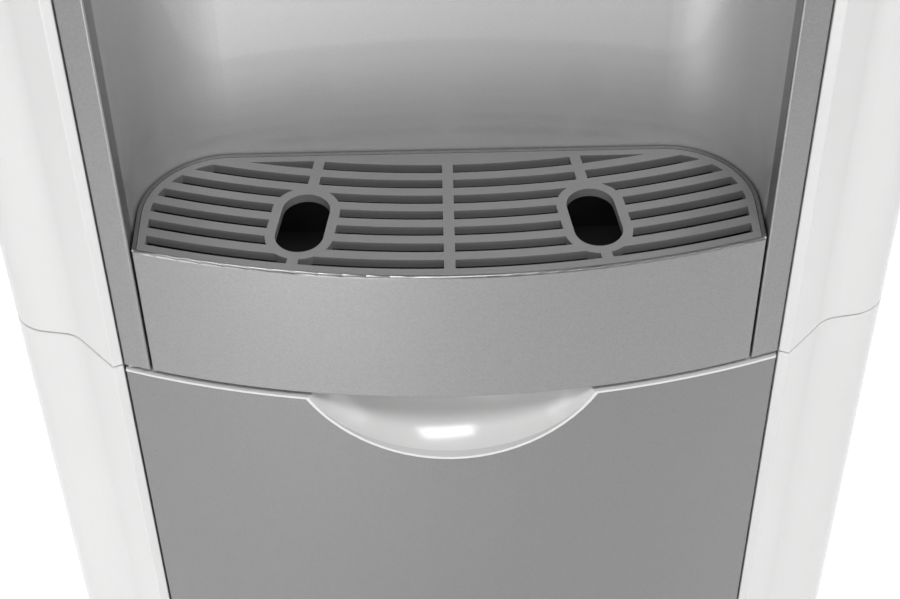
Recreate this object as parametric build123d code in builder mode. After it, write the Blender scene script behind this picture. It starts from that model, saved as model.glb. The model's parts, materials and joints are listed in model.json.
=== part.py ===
"""Floor-standing water dispenser with a bow front, a drip-tray niche, two taps and a storage cabinet.

Frame: millimetres, +Z up, front towards -Y, origin at the centre of the base on the floor.
"""

import math
import os

from build123d import *

# ---------------------------------------------------------------- overall sizes
WIDTH = 330.0
DEPTH = 350.0
SEAM_Z = 540.0  # where the upper and lower shells meet
HEAD_H = 415.0  # upper shell
HEAD_TOP_Z = SEAM_Z + HEAD_H  # top edge of the side panels and the front moulding
HALF_WIDTH = WIDTH / 2
FRONT_Y = -DEPTH / 2
REAR_Y = DEPTH / 2

# ---------------------------------------------------------------- bow front
BEZEL_HALF = 121.0  # half the width between the white side panels
BOW_RISE = 20.1  # how far the bow stands in front of its chord
BOW_R = (BEZEL_HALF**2 + BOW_RISE**2) / (2 * BOW_RISE)
CHORD_Y = FRONT_Y + BOW_RISE
BOW_CENTRE_Y = FRONT_Y + BOW_R
PANEL_GAP = 0.6  # dark line between white and silver mouldings
SEAM_GAP = 0.6  # between the upper and lower side panels
PILASTER_W = 10.2
FASCIA_HALF = BEZEL_HALF - PANEL_GAP
NICHE_HALF = FASCIA_HALF - PILASTER_W

# ---------------------------------------------------------------- white shell
PANEL_T = 2.5
STRIP_W = 3.4  # narrow front strip beside the silver front
STRIP_RISE = 1.4
FLANK_OUT = 16.2  # slanting flank, sideways and back from the strip
FLANK_BACK = 17.4
SHOULDER_BACK = 4.2
CONCAVE_R = 12.0
SHOULDER_R = 15.0
REAR_CORNER_R = 8.0
REAR_FLANGE = 14.0
REAR_SETBACK = 42.0  # room behind the shell for the condenser
BODY_REAR_Y = REAR_Y - REAR_SETBACK
PANEL_BOTTOM_Z = 16.0
SEAM_EDGE_R = 0.7
CORNER_EDGE_R = 0.6
INNER_HALF = HALF_WIDTH - PANEL_T
SHEET_REAR_Y = BODY_REAR_Y - PANEL_T

# ---------------------------------------------------------------- door
DOOR_GAP = 1.8
DOOR_SIDE_GAP = 0.8
DOOR_Z0 = 66.0
DOOR_Z1 = SEAM_Z - DOOR_GAP
DOOR_HALF = BEZEL_HALF - DOOR_SIDE_GAP
DOOR_DEPTH = 10.0  # at the edges
DOOR_REAR_Y = CHORD_Y + DOOR_DEPTH
SKIN_T = 1.2
SKIN_DEPTH = 7.0  # of its side returns
LINER_T = 2.2
LINER_SIDE_T = 4.2
DOOR_FIT = 0.05
BEAD = 1.0  # white edge that shows above the silver skin
SCOOP_HALF = 51.8
SCOOP_DROP = 29.4
SCOOP_DEPTH = 25.0
SCOOP_SLOPE = 25.5  # how much smaller the scoop is at its rear rim
SCOOP_WALL = 2.0
SCOOP_LIP = 1.2
SCOOP_R = (SCOOP_HALF**2 + SCOOP_DROP**2) / (2 * SCOOP_DROP)
SCOOP_Z = DOOR_Z1 - BEAD - SCOOP_DROP + SCOOP_R
GASKET_T = 3.0
GASKET_W = 7.0
GASKET_INSET = 9.0
GASKET_GAP = 0.1
LIP_DEPTH = DOOR_DEPTH + GASKET_T
HINGE_X = -(BEZEL_HALF - 9.0)
HINGE_Y = CHORD_Y + 3.4
HINGE_PIN_R = 2.0
HINGE_PIN_L = 9.0
HINGE_CLEAR = 0.1
BRACKET_T = 1.2
BRACKET_GAP = 0.3
BRACKET_HALF_W = 7.0
DOOR_CORNER_CUT = 4.4
CATCH_X = BEZEL_HALF - 37.0
CATCH_W = 24.0
CATCH_H = 14.0
CATCH_L = 20.0
STRIKE_GAP = 0.8

# ---------------------------------------------------------------- drip tray and grille
APRON_H = 61.0
TRAY_Z = SEAM_Z + APRON_H
APRON_LIFT = 0.6
TRAY_GAP = 0.7
TRAY_HALF = NICHE_HALF - TRAY_GAP
NICHE_DEPTH = 47.2  # behind the chord
NICHE_REAR_Y = CHORD_Y + NICHE_DEPTH
TRAY_REAR_Y = NICHE_REAR_Y - TRAY_GAP
TRAY_CORNER_R = 31.5
NICHE_CORNER_R = TRAY_CORNER_R + TRAY_GAP
TRAY_WALL = 2.8
TRAY_DEPTH = 38.0
TRAY_FLOOR_T = 2.0
TRAY_EDGE_R = 0.9
TRAY_SEAT_GAP = 0.05
RIM_SIDE = 1.4
RIM_FRONT = 0.9
GRILLE_T = 3.5
GRILLE_GAP = 0.2
GRILLE_BORDER = 4.4  # solid border of the tray outline at the slot ends
SLOT_FRONT = 4.3
SLOT_W = 4.4
SLOT_PITCH = 8.3
SLOT_ROWS = 7
BAR_W = 3.9
OVAL_R = 349.0  # of the oval's centre from the bow's centre
OVAL_ANGLE = 8.4
OVAL_LENGTH = 30.0
OVAL_WIDTH = 17.0
OVAL_RIM = 3.5
PAN_GAP = 0.3
PAN_T = 1.2
PAN_TAB_HALF = 19.0
PAN_TAB_DEPTH = 4.0
PAN_TAB_DROP = 6.0
PAN_TAB_T = 1.2
APRON_T = 2.6
APRON_RETURN_Y = CHORD_Y + 3.0

# ---------------------------------------------------------------- niche and front moulding
NICHE_T = 2.5
NICHE_H = 240.0
NICHE_TOP_Z = TRAY_Z + NICHE_H
NICHE_FLOOR_Z = TRAY_Z - TRAY_DEPTH - TRAY_SEAT_GAP
FASCIA_T = 3.0
FASCIA_SIDE_T = 2.2
FASCIA_BACK_Y = CHORD_Y + 6.0
FASCIA_Z0 = SEAM_Z + SEAM_GAP / 2
FASCIA_EDGE_R = 0.9
PLATE_W = 132.0  # indicator plate in the head
PLATE_H = 30.0
PLATE_T = 1.6
PLATE_PROUD = 0.0
PLATE_GAP = 0.2
PLATE_Z = (NICHE_TOP_Z + HEAD_TOP_Z) / 2
LENS_R = 3.0
LENS_STEP = 4.6  # degrees about the bow's centre
LENS_GAP = 0.15
LENS_L = 6.0
LENS_PROUD = 0.0

# ---------------------------------------------------------------- top cover and bottle seat
COVER_TIER = 8.0
COVER_H = 30.0
COVER_T = 3.0
COVER_INSET = 7.0
COVER_HALF = HALF_WIDTH - 14.0
COVER_CORNER_R = 34.0
COVER_EDGE_R = 9.0
COVER_TOP_Z = HEAD_TOP_Z + COVER_H
SEAT_R = 106.0
SEAT_FLANGE = 8.0
SEAT_LIP_H = 6.0
SEAT_T = 2.5
SEAT_GAP = 0.4
SEAT_SKIRT = 10.0
FUNNEL_R = 62.0
FUNNEL_DROP = 38.0
CUP_R = 33.0
CUP_STEP = 5.0
CUP_Z = COVER_TOP_Z - 80.0
PROBE_R = 10.5
PROBE_BORE_R = 6.5
PROBE_H = 52.0
PROBE_TAIL = 10.0
PROBE_FLANGE_R = 15.0
PROBE_FLANGE_T = 2.0
PROBE_HOLE_R = 2.6
PROBE_FIT = 0.1

# ---------------------------------------------------------------- base, cabinet and deck
FOOT_H = 12.0
FOOT_R = 15.0
FOOT_X = HALF_WIDTH - 37.0
FOOT_Y = DEPTH / 2 - 75.0
BASE_T = 2.0
BASE_FLANGE = 24.0
BASE_SHOULDER_Y = CHORD_Y + 36.9
KICK_T = 2.5
KICK_GAP = 4.0
CAB_HALF = BEZEL_HALF - 18.5
CAB_T = 2.5
CAB_Z0 = 81.5
CAB_Z1 = SEAM_Z - 17.5
CAB_FRONT_Y = DOOR_REAR_Y + GASKET_T + GASKET_GAP
CAB_REAR_Y = BODY_REAR_Y - 35.0
CAB_FLANGE_HALF = BEZEL_HALF + 2.0
CAB_FLANGE_Z0 = 64.0
CAB_FLANGE_Z1 = SEAM_Z - 0.2
CAB_LEG_HALF = BEZEL_HALF - 8.0
HUMP_Z = 232.0  # top of the step over the compressor
HUMP_Y = BODY_REAR_Y - 147.0  # front of that step
SHELF_T = 4.0
SHELF_Z = 330.0
SHELF_GAP = 0.4
SHELF_FRONT_Y = CHORD_Y + 28.9
LEDGE_W = 4.0
LEDGE_T = 4.0
DECK_T = 2.0
DECK_Z = SEAM_Z - 6.0
DECK_FRONT_HALF = BEZEL_HALF - 5.0
DECK_REAR_Y = BODY_REAR_Y - 29.0
DECK_SIDE_H = 32.0
REAR_SHEET_T = 1.0
REAR_SHEET_HALF = HALF_WIDTH - 8.0
REAR_SHEET_Z0 = HUMP_Z + 4.0
REAR_SHEET_Z1 = HEAD_TOP_Z - 5.0
LOUVRE_W = 84.0
LOUVRE_H = 4.0
LOUVRE_PITCH = 11.0
LOUVRE_ROWS = 9
LOUVRE_X = 56.0
LOUVRE_Z = SEAM_Z + 100.0

# ---------------------------------------------------------------- taps
TAP_X = OVAL_R * math.sin(math.radians(OVAL_ANGLE))
TAP_Y = BOW_CENTRE_Y - OVAL_R * math.cos(math.radians(OVAL_ANGLE))
TAP_Z = TRAY_Z + 205.0
BARREL_R = 11.0
BARREL_UP = 18.0
BARREL_DOWN = 16.0
SPOUT_R = 6.6
SPOUT_TIP_R = 5.4
SPOUT_DROP = 34.0
SPOUT_BORE_R = 3.6
SHANK_R = 8.0
SHANK_FIT = 0.1
COLLAR_R = 15.5
COLLAR_T = 4.0
NUT_T = 5.0
NUT_R = 14.0
PIVOT_UP = 9.0
PIVOT_R = 2.4
PIVOT_FIT = 0.1
ARM_GAP = 0.8
ARM_T = 2.4
ARM_R = 5.0
PADDLE_BACK = 18.0
PADDLE_T = 3.0
PADDLE_TOP = 39.0
PADDLE_BOTTOM = 73.0
BRIDGE_UP = 13.0
BRIDGE_T = 3.4
BUTTON_R = 5.0
BUTTON_UP = 2.6
BUTTON_DOWN = 1.0
BUTTON_GAP = 0.1

# ---------------------------------------------------------------- tanks and water lines
STUB_R = 4.5
BORE_R = 3.0
SLEEVE_R = 6.5
SLEEVE_FIT = 0.05
STUB_GRIP = 8.0
COLD_R = 70.0
COLD_H = 150.0
COLD_WALL = 1.0
COLD_LID_T = 4.0
LID_GAP = 1.0
TANK_TOP_Z = CUP_Z - LID_GAP
COLD_Z0 = TANK_TOP_Z - COLD_LID_T - COLD_H
COIL_R = 3.2
COIL_PITCH = 13.0
COIL_TURNS = 4
COIL_GAP = 0.05
COIL_RISE = 20.0  # above the cold tap's line
COIL_TAIL = 60.0
FOAM_T = 17.0
FOAM_BOTTOM = 20.0
FOAM_CLEAR = 2.2
TAIL_CLEAR = 2.0
BEAM_T = 3.0
BEAM_HALF_W = 45.0
BEAM_FLANGE = 18.0
HOT_R = 48.0
HOT_H = 112.0
HOT_WALL = 1.2
JACKET_T = 9.0
HOT_Y = 22.0
HOT_Z0 = DECK_Z + DECK_T + JACKET_T
HOT_OUT_X = 30.0
HOT_RUN_Z = SEAM_Z + 162.0
RISER_GAP = 1.36  # between the foam and the hot hose that rises in front of it
LINE_BEND = 10.0
LINE_GAP = 0.5
JOINT_GAP = 0.3  # at a brazed joint

# ---------------------------------------------------------------- cooling circuit
COMP_L = 150.0
COMP_W = 118.0
COMP_H = 138.0
COMP_Y = BODY_REAR_Y - 67.0
COMP_CORNER_R = 50.0
COMP_TOP_R = 42.0
COMP_FOOT_T = 2.5
COMP_FOOT_X = 82.0
COMP_FOOT_Y = 34.0
COMP_FOOT_W = 20.0
GROMMET_R = 8.0
GROMMET_H = 13.0
PORT_Z = 120.0
PORT_X = 20.0
PORT_R = 4.2
PORT_L = 10.0
COND_TUBE_R = 2.5
COND_WIRE_R = 0.8
COND_CLEAR = 0.05
COND_HALF = 118.0
COND_Z0 = 262.0
COND_PITCH = 46.0
COND_RUNS = 14
COND_BEND = 22.0
COND_WIRE_HALF = 108.0
COND_WIRES = 25
COND_WIRE_OVER = 12.0
COND_Y = REAR_Y - 2 * COND_WIRE_R - COND_CLEAR - COND_TUBE_R
STANDOFF_X = 90.0
STANDOFF_W = 12.0
STANDOFF_H = 16.0
STANDOFF_T = 2.0
DRIER_R = 9.0
DRIER_L = 80.0
DRIER_X = 60.0
DRIER_Y = BODY_REAR_Y - 25.0
CAPILLARY_R = 1.2
CAPILLARY_DROP = 25.0  # of its turn below the drier
CAPILLARY_RISE = 20.0
CAPILLARY_X = 100.0
SUCTION_X = -105.0
SUCTION_Y = BODY_REAR_Y - 20.0

# ---------------------------------------------------------------- rear fittings
FITTING_X = HALF_WIDTH - 29.0
INLET_W = 26.0
INLET_H = 44.0
INLET_T = 3.0
INLET_Z = 300.0
INLET_BODY_W = 20.0
INLET_BODY_H = 30.0
INLET_BODY_L = 22.0
INLET_CAVITY_W = 16.5
INLET_CAVITY_H = 24.5
INLET_CAVITY_L = 17.0
PIN_W = 2.0
PIN_H = 4.0
PIN_PITCH = 7.0
SWITCH_Z = HEAD_TOP_Z - 65.0
SWITCH_PITCH = 36.0
SWITCH_W = 15.0
SWITCH_H = 24.0
SWITCH_T = 1.6
SWITCH_BODY_W = 13.0
SWITCH_BODY_H = 21.0
SWITCH_BODY_L = 14.0
SWITCH_WALL = 1.0
ROCKER_GAP = 0.2
ROCKER_HALF = 8.2
ROCKER_TILT = 8.0
ROCKER_HUB_R = 4.0
DRAIN_Z = HOT_Z0 + 10.0
DRAIN_R = 8.0
DRAIN_FLANGE_R = 12.0
DRAIN_L = 14.0
DRAIN_CAP_R = 11.0
DRAIN_CAP_L = 15.0
DRAIN_CAP_FIT = 0.1
SCREW_R = 2.0
SCREW_HEAD_R = 3.5
SCREW_HEAD_T = 1.6
SCREW_L = 8.0
SCREW_FIT = 0.05
SCREW_X = HALF_WIDTH - 11.5
SCREW_ZS = (262.0, SEAM_Z - 110, SEAM_Z - 20, SEAM_Z + 70, SEAM_Z + 240, HEAD_TOP_Z - 25)


def bow_y(x, inset=0.0):
    """Y of the bow front at x, inset mm behind its skin."""
    return BOW_CENTRE_Y - math.sqrt((BOW_R - inset) ** 2 - x**2)


def bow_plan(half, inset, back_y):
    """Plan of a block with the bow as its front."""
    edge_y = bow_y(half, inset)
    with BuildSketch() as plan:
        with BuildLine():
            front = ThreePointArc((-half, edge_y), (0, FRONT_Y + inset), (half, edge_y))
            Polyline(front @ 1, (half, back_y), (-half, back_y), front @ 0)
        make_face()
    return plan.sketch


def box_plan(x_low, x_high, y_low, y_high):
    """Rectangle given by its limits."""
    with BuildSketch() as plan:
        with Locations(((x_low + x_high) / 2, (y_low + y_high) / 2)):
            Rectangle(x_high - x_low, y_high - y_low)
    return plan.sketch


def tray_plan(inset, front_inset):
    """Plan of the drip tray: bow front, straight sides and round rear corners."""
    block = bow_plan(TRAY_HALF - inset, front_inset, TRAY_REAR_Y - inset)
    with BuildSketch() as plan:
        add(block)
        fillet(plan.vertices().group_by(Axis.Y)[-1], TRAY_CORNER_R - inset)
    return plan.sketch


def niche_plan(grow, front_y):
    """Plan of the niche, grow mm outside its inner face."""
    half = NICHE_HALF + grow
    with BuildSketch() as plan:
        add(box_plan(-half, half, front_y, NICHE_REAR_Y + grow))
        fillet(plan.vertices().group_by(Axis.Y)[-1], NICHE_CORNER_R + grow)
    return plan.sketch


def panel_plan():
    """Plan of the right side panel: lip, strip, flank, shoulder, side and rear flange."""
    strip = (BEZEL_HALF + STRIP_W, CHORD_Y - STRIP_RISE)
    flank = (strip[0] + FLANK_OUT, strip[1] + FLANK_BACK)
    with BuildSketch() as plan:
        with BuildLine():
            FilletPolyline(
                (BEZEL_HALF, CHORD_Y + LIP_DEPTH),
                (BEZEL_HALF, CHORD_Y),
                strip,
                flank,
                (HALF_WIDTH, flank[1] + SHOULDER_BACK),
                (HALF_WIDTH, BODY_REAR_Y),
                (HALF_WIDTH - REAR_FLANGE, BODY_REAR_Y),
                radius=[CORNER_EDGE_R, CORNER_EDGE_R, CONCAVE_R, SHOULDER_R, REAR_CORNER_R],
            )
            offset(amount=PANEL_T, side=Side.LEFT)
        make_face()
    return plan.sketch


def cover_outline(inset):
    """Plan of the whole shell, inset mm inside its outer face."""
    strip = (BEZEL_HALF + STRIP_W, CHORD_Y - STRIP_RISE)
    flank = (strip[0] + FLANK_OUT, strip[1] + FLANK_BACK)
    edge_y = bow_y(BEZEL_HALF)
    with BuildSketch() as plan:
        with BuildLine():
            ThreePointArc((-BEZEL_HALF, edge_y), (0, FRONT_Y), (BEZEL_HALF, edge_y))
            right = FilletPolyline(
                (BEZEL_HALF, edge_y),
                strip,
                flank,
                (HALF_WIDTH, flank[1] + SHOULDER_BACK),
                (HALF_WIDTH, BODY_REAR_Y),
                (0, BODY_REAR_Y),
                radius=[CORNER_EDGE_R, CONCAVE_R, SHOULDER_R, REAR_CORNER_R],
            )
            mirror(right, about=Plane.YZ)
        make_face()
        if inset:
            offset(amount=-inset, kind=Kind.INTERSECTION)
    return plan.sketch


def dome_plan(inset):
    """Plan of the cover's raised middle."""
    block = bow_plan(COVER_HALF - inset, COVER_INSET + inset, BODY_REAR_Y - COVER_INSET - inset)
    with BuildSketch() as plan:
        add(block)
        fillet(plan.vertices(), COVER_CORNER_R - inset)
    return plan.sketch


def base_plan(inset):
    """Plan of the base pan: full width behind, bow nose in front."""
    with BuildSketch() as plan:
        add(box_plan(-INNER_HALF + inset, INNER_HALF - inset, BASE_SHOULDER_Y + inset, SHEET_REAR_Y - inset))
        fillet(plan.vertices().group_by(Axis.Y)[-1], REAR_CORNER_R - PANEL_T - inset)
        add(bow_plan(DOOR_HALF - KICK_T - inset, KICK_T + inset, 0))
    return plan.sketch


def front_plane(x, y, z):
    """Plane whose z axis points out of the front."""
    return Plane(origin=(x, y, z), x_dir=(1, 0, 0), z_dir=(0, -1, 0))


def rear_plane(x, y, z):
    """Plane whose z axis points out of the back."""
    return Plane(origin=(x, y, z), x_dir=(-1, 0, 0), z_dir=(0, 1, 0))


def bow_plane(angle, inset, z):
    """Plane on the bow front, angle degrees round from its middle."""
    turn = math.radians(angle)
    radius = BOW_R - inset
    return Plane(
        origin=(radius * math.sin(turn), BOW_CENTRE_Y - radius * math.cos(turn), z),
        x_dir=(math.cos(turn), math.sin(turn), 0),
        z_dir=(math.sin(turn), -math.cos(turn), 0),
    )


def tube(path, outer, inner):
    """Tube swept along a path."""
    start = Plane(origin=path @ 0, z_dir=path % 0)
    with BuildPart() as swept:
        with BuildSketch(start):
            Circle(outer)
            if inner:
                Circle(inner, mode=Mode.SUBTRACT)
        sweep(path=path)
    return swept.part


def route(*points, radius):
    """Path through the points with round bends."""
    with BuildLine() as path:
        FilletPolyline(*points, radius=radius)
    return path.wire()


def keep(piece, name):
    """Names a finished piece and writes its STEP file."""
    piece.part.label = name
    export_step(piece.part, f"parts/{name}.step")


os.makedirs("parts", exist_ok=True)

# ================================================================ white side panels
PANEL_PLAN = panel_plan()
PANELS = {
    "lower_side_panel": (PANEL_BOTTOM_Z, SEAM_Z - SEAM_GAP / 2),
    "upper_side_panel": (SEAM_Z + SEAM_GAP / 2, HEAD_TOP_Z),
}
for panel_name, (z_low, z_high) in PANELS.items():
    with BuildPart() as side_panel:
        with BuildSketch(Plane.XY.offset(z_low)):
            add(PANEL_PLAN)
        extrude(amount=z_high - z_low)
        ends = side_panel.faces().filter_by(Axis.Z).sort_by(lambda f: abs(f.center().Z - SEAM_Z))
        fillet(ends[0].edges().sort_by(SortBy.LENGTH)[-2:].sort_by(Axis.X)[-1:], SEAM_EDGE_R)
        for z in SCREW_ZS:
            with BuildSketch(rear_plane(SCREW_X, BODY_REAR_Y, z)):
                Circle(SCREW_R + SCREW_FIT)
            extrude(amount=-2 * PANEL_T, mode=Mode.SUBTRACT)
    keep(side_panel, f"{panel_name}_right")
    with BuildPart() as mirrored_panel:
        mirror(side_panel.part, about=Plane.YZ)
    keep(mirrored_panel, f"{panel_name}_left")

# ================================================================ base, feet and kickplate
with BuildPart() as base_pan:
    with BuildSketch(Plane.XY.offset(FOOT_H)):
        add(base_plan(0))
    extrude(amount=BASE_FLANGE)
    with BuildSketch(Plane.XY.offset(FOOT_H + BASE_T)):
        add(base_plan(BASE_T))
    extrude(amount=BASE_FLANGE, mode=Mode.SUBTRACT)
keep(base_pan, "base_pan")

with BuildPart() as foot:
    with Locations(*[(x, y) for x in (-FOOT_X, FOOT_X) for y in (-FOOT_Y, FOOT_Y)]):
        Cylinder(FOOT_R, FOOT_H, align=(Align.CENTER, Align.CENTER, Align.MIN))
    fillet(foot.edges().group_by(Axis.Z)[0], 2)
keep(foot, "foot")

with BuildPart() as kickplate:
    with BuildSketch(Plane.XY.offset(PANEL_BOTTOM_Z)):
        add(bow_plan(DOOR_HALF, 0, CHORD_Y + LIP_DEPTH))
        add(bow_plan(DOOR_HALF - KICK_T, KICK_T, CHORD_Y + 2 * LIP_DEPTH), mode=Mode.SUBTRACT)
    extrude(amount=DOOR_Z0 - KICK_GAP - PANEL_BOTTOM_Z)
keep(kickplate, "kickplate")

# ================================================================ deck and rear panel
with BuildPart() as mid_deck:
    with BuildSketch(Plane.XY.offset(DECK_Z)):
        add(box_plan(-INNER_HALF, INNER_HALF, BASE_SHOULDER_Y, DECK_REAR_Y))
        add(box_plan(-DECK_FRONT_HALF, DECK_FRONT_HALF, CAB_FRONT_Y + CAB_T, BASE_SHOULDER_Y))
    extrude(amount=DECK_T)
    with BuildSketch(Plane.XY.offset(SEAM_Z - DECK_SIDE_H / 2)):
        add(box_plan(-INNER_HALF, -INNER_HALF + DECK_T, BASE_SHOULDER_Y, DECK_REAR_Y))
        add(box_plan(INNER_HALF - DECK_T, INNER_HALF, BASE_SHOULDER_Y, DECK_REAR_Y))
    extrude(amount=DECK_SIDE_H)
keep(mid_deck, "mid_deck")

with BuildPart() as rear_panel:
    with BuildSketch(rear_plane(0, SHEET_REAR_Y - REAR_SHEET_T, 0)):
        add(box_plan(-REAR_SHEET_HALF, REAR_SHEET_HALF, REAR_SHEET_Z0, REAR_SHEET_Z1))
        with Locations((-FITTING_X, INLET_Z)):
            Rectangle(INLET_BODY_W + 0.4, INLET_BODY_H + 0.4, mode=Mode.SUBTRACT)
        with Locations((-FITTING_X, SWITCH_Z), (-FITTING_X, SWITCH_Z + SWITCH_PITCH)):
            Rectangle(SWITCH_BODY_W + 0.4, SWITCH_BODY_H + 0.4, mode=Mode.SUBTRACT)
        with Locations((FITTING_X, DRAIN_Z)):
            Circle(SLEEVE_R + 0.2, mode=Mode.SUBTRACT)
        with Locations((-DRIER_X, COND_Z0 + (COND_RUNS - 1) * COND_PITCH)):
            Circle(COND_TUBE_R + 1.5, mode=Mode.SUBTRACT)
        with Locations(*[(side * SCREW_X, z) for side in (-1, 1) for z in SCREW_ZS]):
            Circle(SCREW_R + SCREW_FIT, mode=Mode.SUBTRACT)
        with Locations(
            *[(side * LOUVRE_X, LOUVRE_Z + row * LOUVRE_PITCH) for side in (-1, 1) for row in range(LOUVRE_ROWS)]
        ):
            SlotOverall(LOUVRE_W, LOUVRE_H, mode=Mode.SUBTRACT)
    extrude(amount=REAR_SHEET_T)
keep(rear_panel, "rear_panel")

with BuildPart() as screw:
    for side in (-1, 1):
        for z in SCREW_ZS:
            with BuildSketch(rear_plane(side * SCREW_X, BODY_REAR_Y - SCREW_L, z)):
                Circle(SCREW_R)
            extrude(amount=SCREW_L)
            with BuildSketch(rear_plane(side * SCREW_X, BODY_REAR_Y, z)):
                Circle(SCREW_HEAD_R)
            extrude(amount=SCREW_HEAD_T)
keep(screw, "screw")

# ================================================================ cabinet
with BuildPart() as cabinet_liner:
    with BuildSketch(Plane.YZ):
        add(box_plan(CAB_FRONT_Y, CAB_REAR_Y, CAB_Z0, CAB_Z1))
        add(box_plan(HUMP_Y, CAB_REAR_Y, CAB_Z0, HUMP_Z), mode=Mode.SUBTRACT)
    extrude(amount=CAB_HALF, both=True)
    with BuildSketch(front_plane(0, CAB_FRONT_Y, 0)):
        add(box_plan(-CAB_FLANGE_HALF, CAB_FLANGE_HALF, CAB_FLANGE_Z0, CAB_FLANGE_Z1))
        add(box_plan(-CAB_LEG_HALF, CAB_LEG_HALF, FOOT_H + BASE_T, CAB_FLANGE_Z0))
    extrude(amount=-CAB_T)
    with BuildSketch(Plane.YZ):
        add(box_plan(CAB_FRONT_Y - 1, CAB_REAR_Y - CAB_T, CAB_Z0 + CAB_T, CAB_Z1 - CAB_T))
        add(box_plan(HUMP_Y - CAB_T, CAB_REAR_Y, CAB_Z0, HUMP_Z + CAB_T), mode=Mode.SUBTRACT)
    extrude(amount=CAB_HALF - CAB_T, both=True, mode=Mode.SUBTRACT)
    with BuildSketch(Plane.XY.offset(SHELF_Z - LEDGE_T)):
        add(box_plan(-CAB_HALF + CAB_T, -CAB_HALF + CAB_T + LEDGE_W, SHELF_FRONT_Y, CAB_REAR_Y - CAB_T))
        add(box_plan(CAB_HALF - CAB_T - LEDGE_W, CAB_HALF - CAB_T, SHELF_FRONT_Y, CAB_REAR_Y - CAB_T))
    extrude(amount=LEDGE_T)
keep(cabinet_liner, "cabinet_liner")

with BuildPart() as cabinet_shelf:
    shelf_half = CAB_HALF - CAB_T - SHELF_GAP
    with BuildSketch(Plane.XY.offset(SHELF_Z)):
        add(box_plan(-shelf_half, shelf_half, SHELF_FRONT_Y, CAB_REAR_Y - CAB_T - SHELF_GAP))
    extrude(amount=SHELF_T)
    fillet(cabinet_shelf.edges().filter_by(Axis.X).group_by(Axis.Y)[0], 1.5)
keep(cabinet_shelf, "cabinet_shelf")

# ================================================================ front moulding and indicator
with BuildPart() as front_fascia:
    with BuildSketch(Plane.XY.offset(FASCIA_Z0)):
        add(bow_plan(FASCIA_HALF, 0, FASCIA_BACK_Y))
    extrude(amount=HEAD_TOP_Z - FASCIA_Z0)
    with BuildSketch(Plane.XY.offset(FASCIA_Z0)):
        add(box_plan(-NICHE_HALF, NICHE_HALF, FRONT_Y - 1, FASCIA_BACK_Y))
    extrude(amount=NICHE_TOP_Z - FASCIA_Z0, mode=Mode.SUBTRACT)
    fillet(front_fascia.edges().filter_by(lambda e: e.center().Y < CHORD_Y + 0.5), FASCIA_EDGE_R)
    with BuildSketch(Plane.XY.offset(FASCIA_Z0 + FASCIA_T)):
        add(bow_plan(FASCIA_HALF - FASCIA_SIDE_T, FASCIA_T, FASCIA_BACK_Y))
        add(
            box_plan(-NICHE_HALF - FASCIA_SIDE_T, NICHE_HALF + FASCIA_SIDE_T, FRONT_Y, FASCIA_BACK_Y),
            mode=Mode.SUBTRACT,
        )
    extrude(amount=NICHE_TOP_Z - FASCIA_Z0, mode=Mode.SUBTRACT)
    with BuildSketch(Plane.XY.offset(NICHE_TOP_Z + FASCIA_T)):
        add(bow_plan(FASCIA_HALF - FASCIA_SIDE_T, FASCIA_T, FASCIA_BACK_Y))
    extrude(amount=HEAD_TOP_Z - NICHE_TOP_Z - 2 * FASCIA_T, mode=Mode.SUBTRACT)
    with BuildSketch(Plane.XY.offset(PLATE_Z - PLATE_H / 2 - PLATE_GAP)):
        add(bow_plan(PLATE_W / 2 + PLATE_GAP, -PLATE_PROUD, CHORD_Y))
        add(bow_plan(PLATE_W / 2 + 1, PLATE_T - PLATE_PROUD, CHORD_Y + 1), mode=Mode.SUBTRACT)
    extrude(amount=PLATE_H + 2 * PLATE_GAP, mode=Mode.SUBTRACT)
    for step in (-1, 0, 1):
        with BuildSketch(bow_plane(step * LENS_STEP, 2 * FASCIA_T, PLATE_Z)):
            Circle(LENS_R + LENS_GAP)
        extrude(amount=3 * FASCIA_T, mode=Mode.SUBTRACT)
keep(front_fascia, "front_fascia")

with BuildPart() as indicator_plate:
    with BuildSketch(Plane.XY.offset(PLATE_Z - PLATE_H / 2)):
        add(bow_plan(PLATE_W / 2, -PLATE_PROUD, CHORD_Y))
        add(bow_plan(PLATE_W / 2 + 1, PLATE_T - PLATE_PROUD, CHORD_Y + 1), mode=Mode.SUBTRACT)
    extrude(amount=PLATE_H)
    for step in (-1, 0, 1):
        with BuildSketch(bow_plane(step * LENS_STEP, 2 * FASCIA_T, PLATE_Z)):
            Circle(LENS_R + LENS_GAP)
        extrude(amount=3 * FASCIA_T, mode=Mode.SUBTRACT)
keep(indicator_plate, "indicator_plate")

with BuildPart() as indicator_lens:
    for step in (-1, 0, 1):
        with BuildSketch(bow_plane(step * LENS_STEP, LENS_L - LENS_PROUD, PLATE_Z)):
            Circle(LENS_R)
        extrude(amount=LENS_L)
keep(indicator_lens, "indicator_lens")

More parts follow.
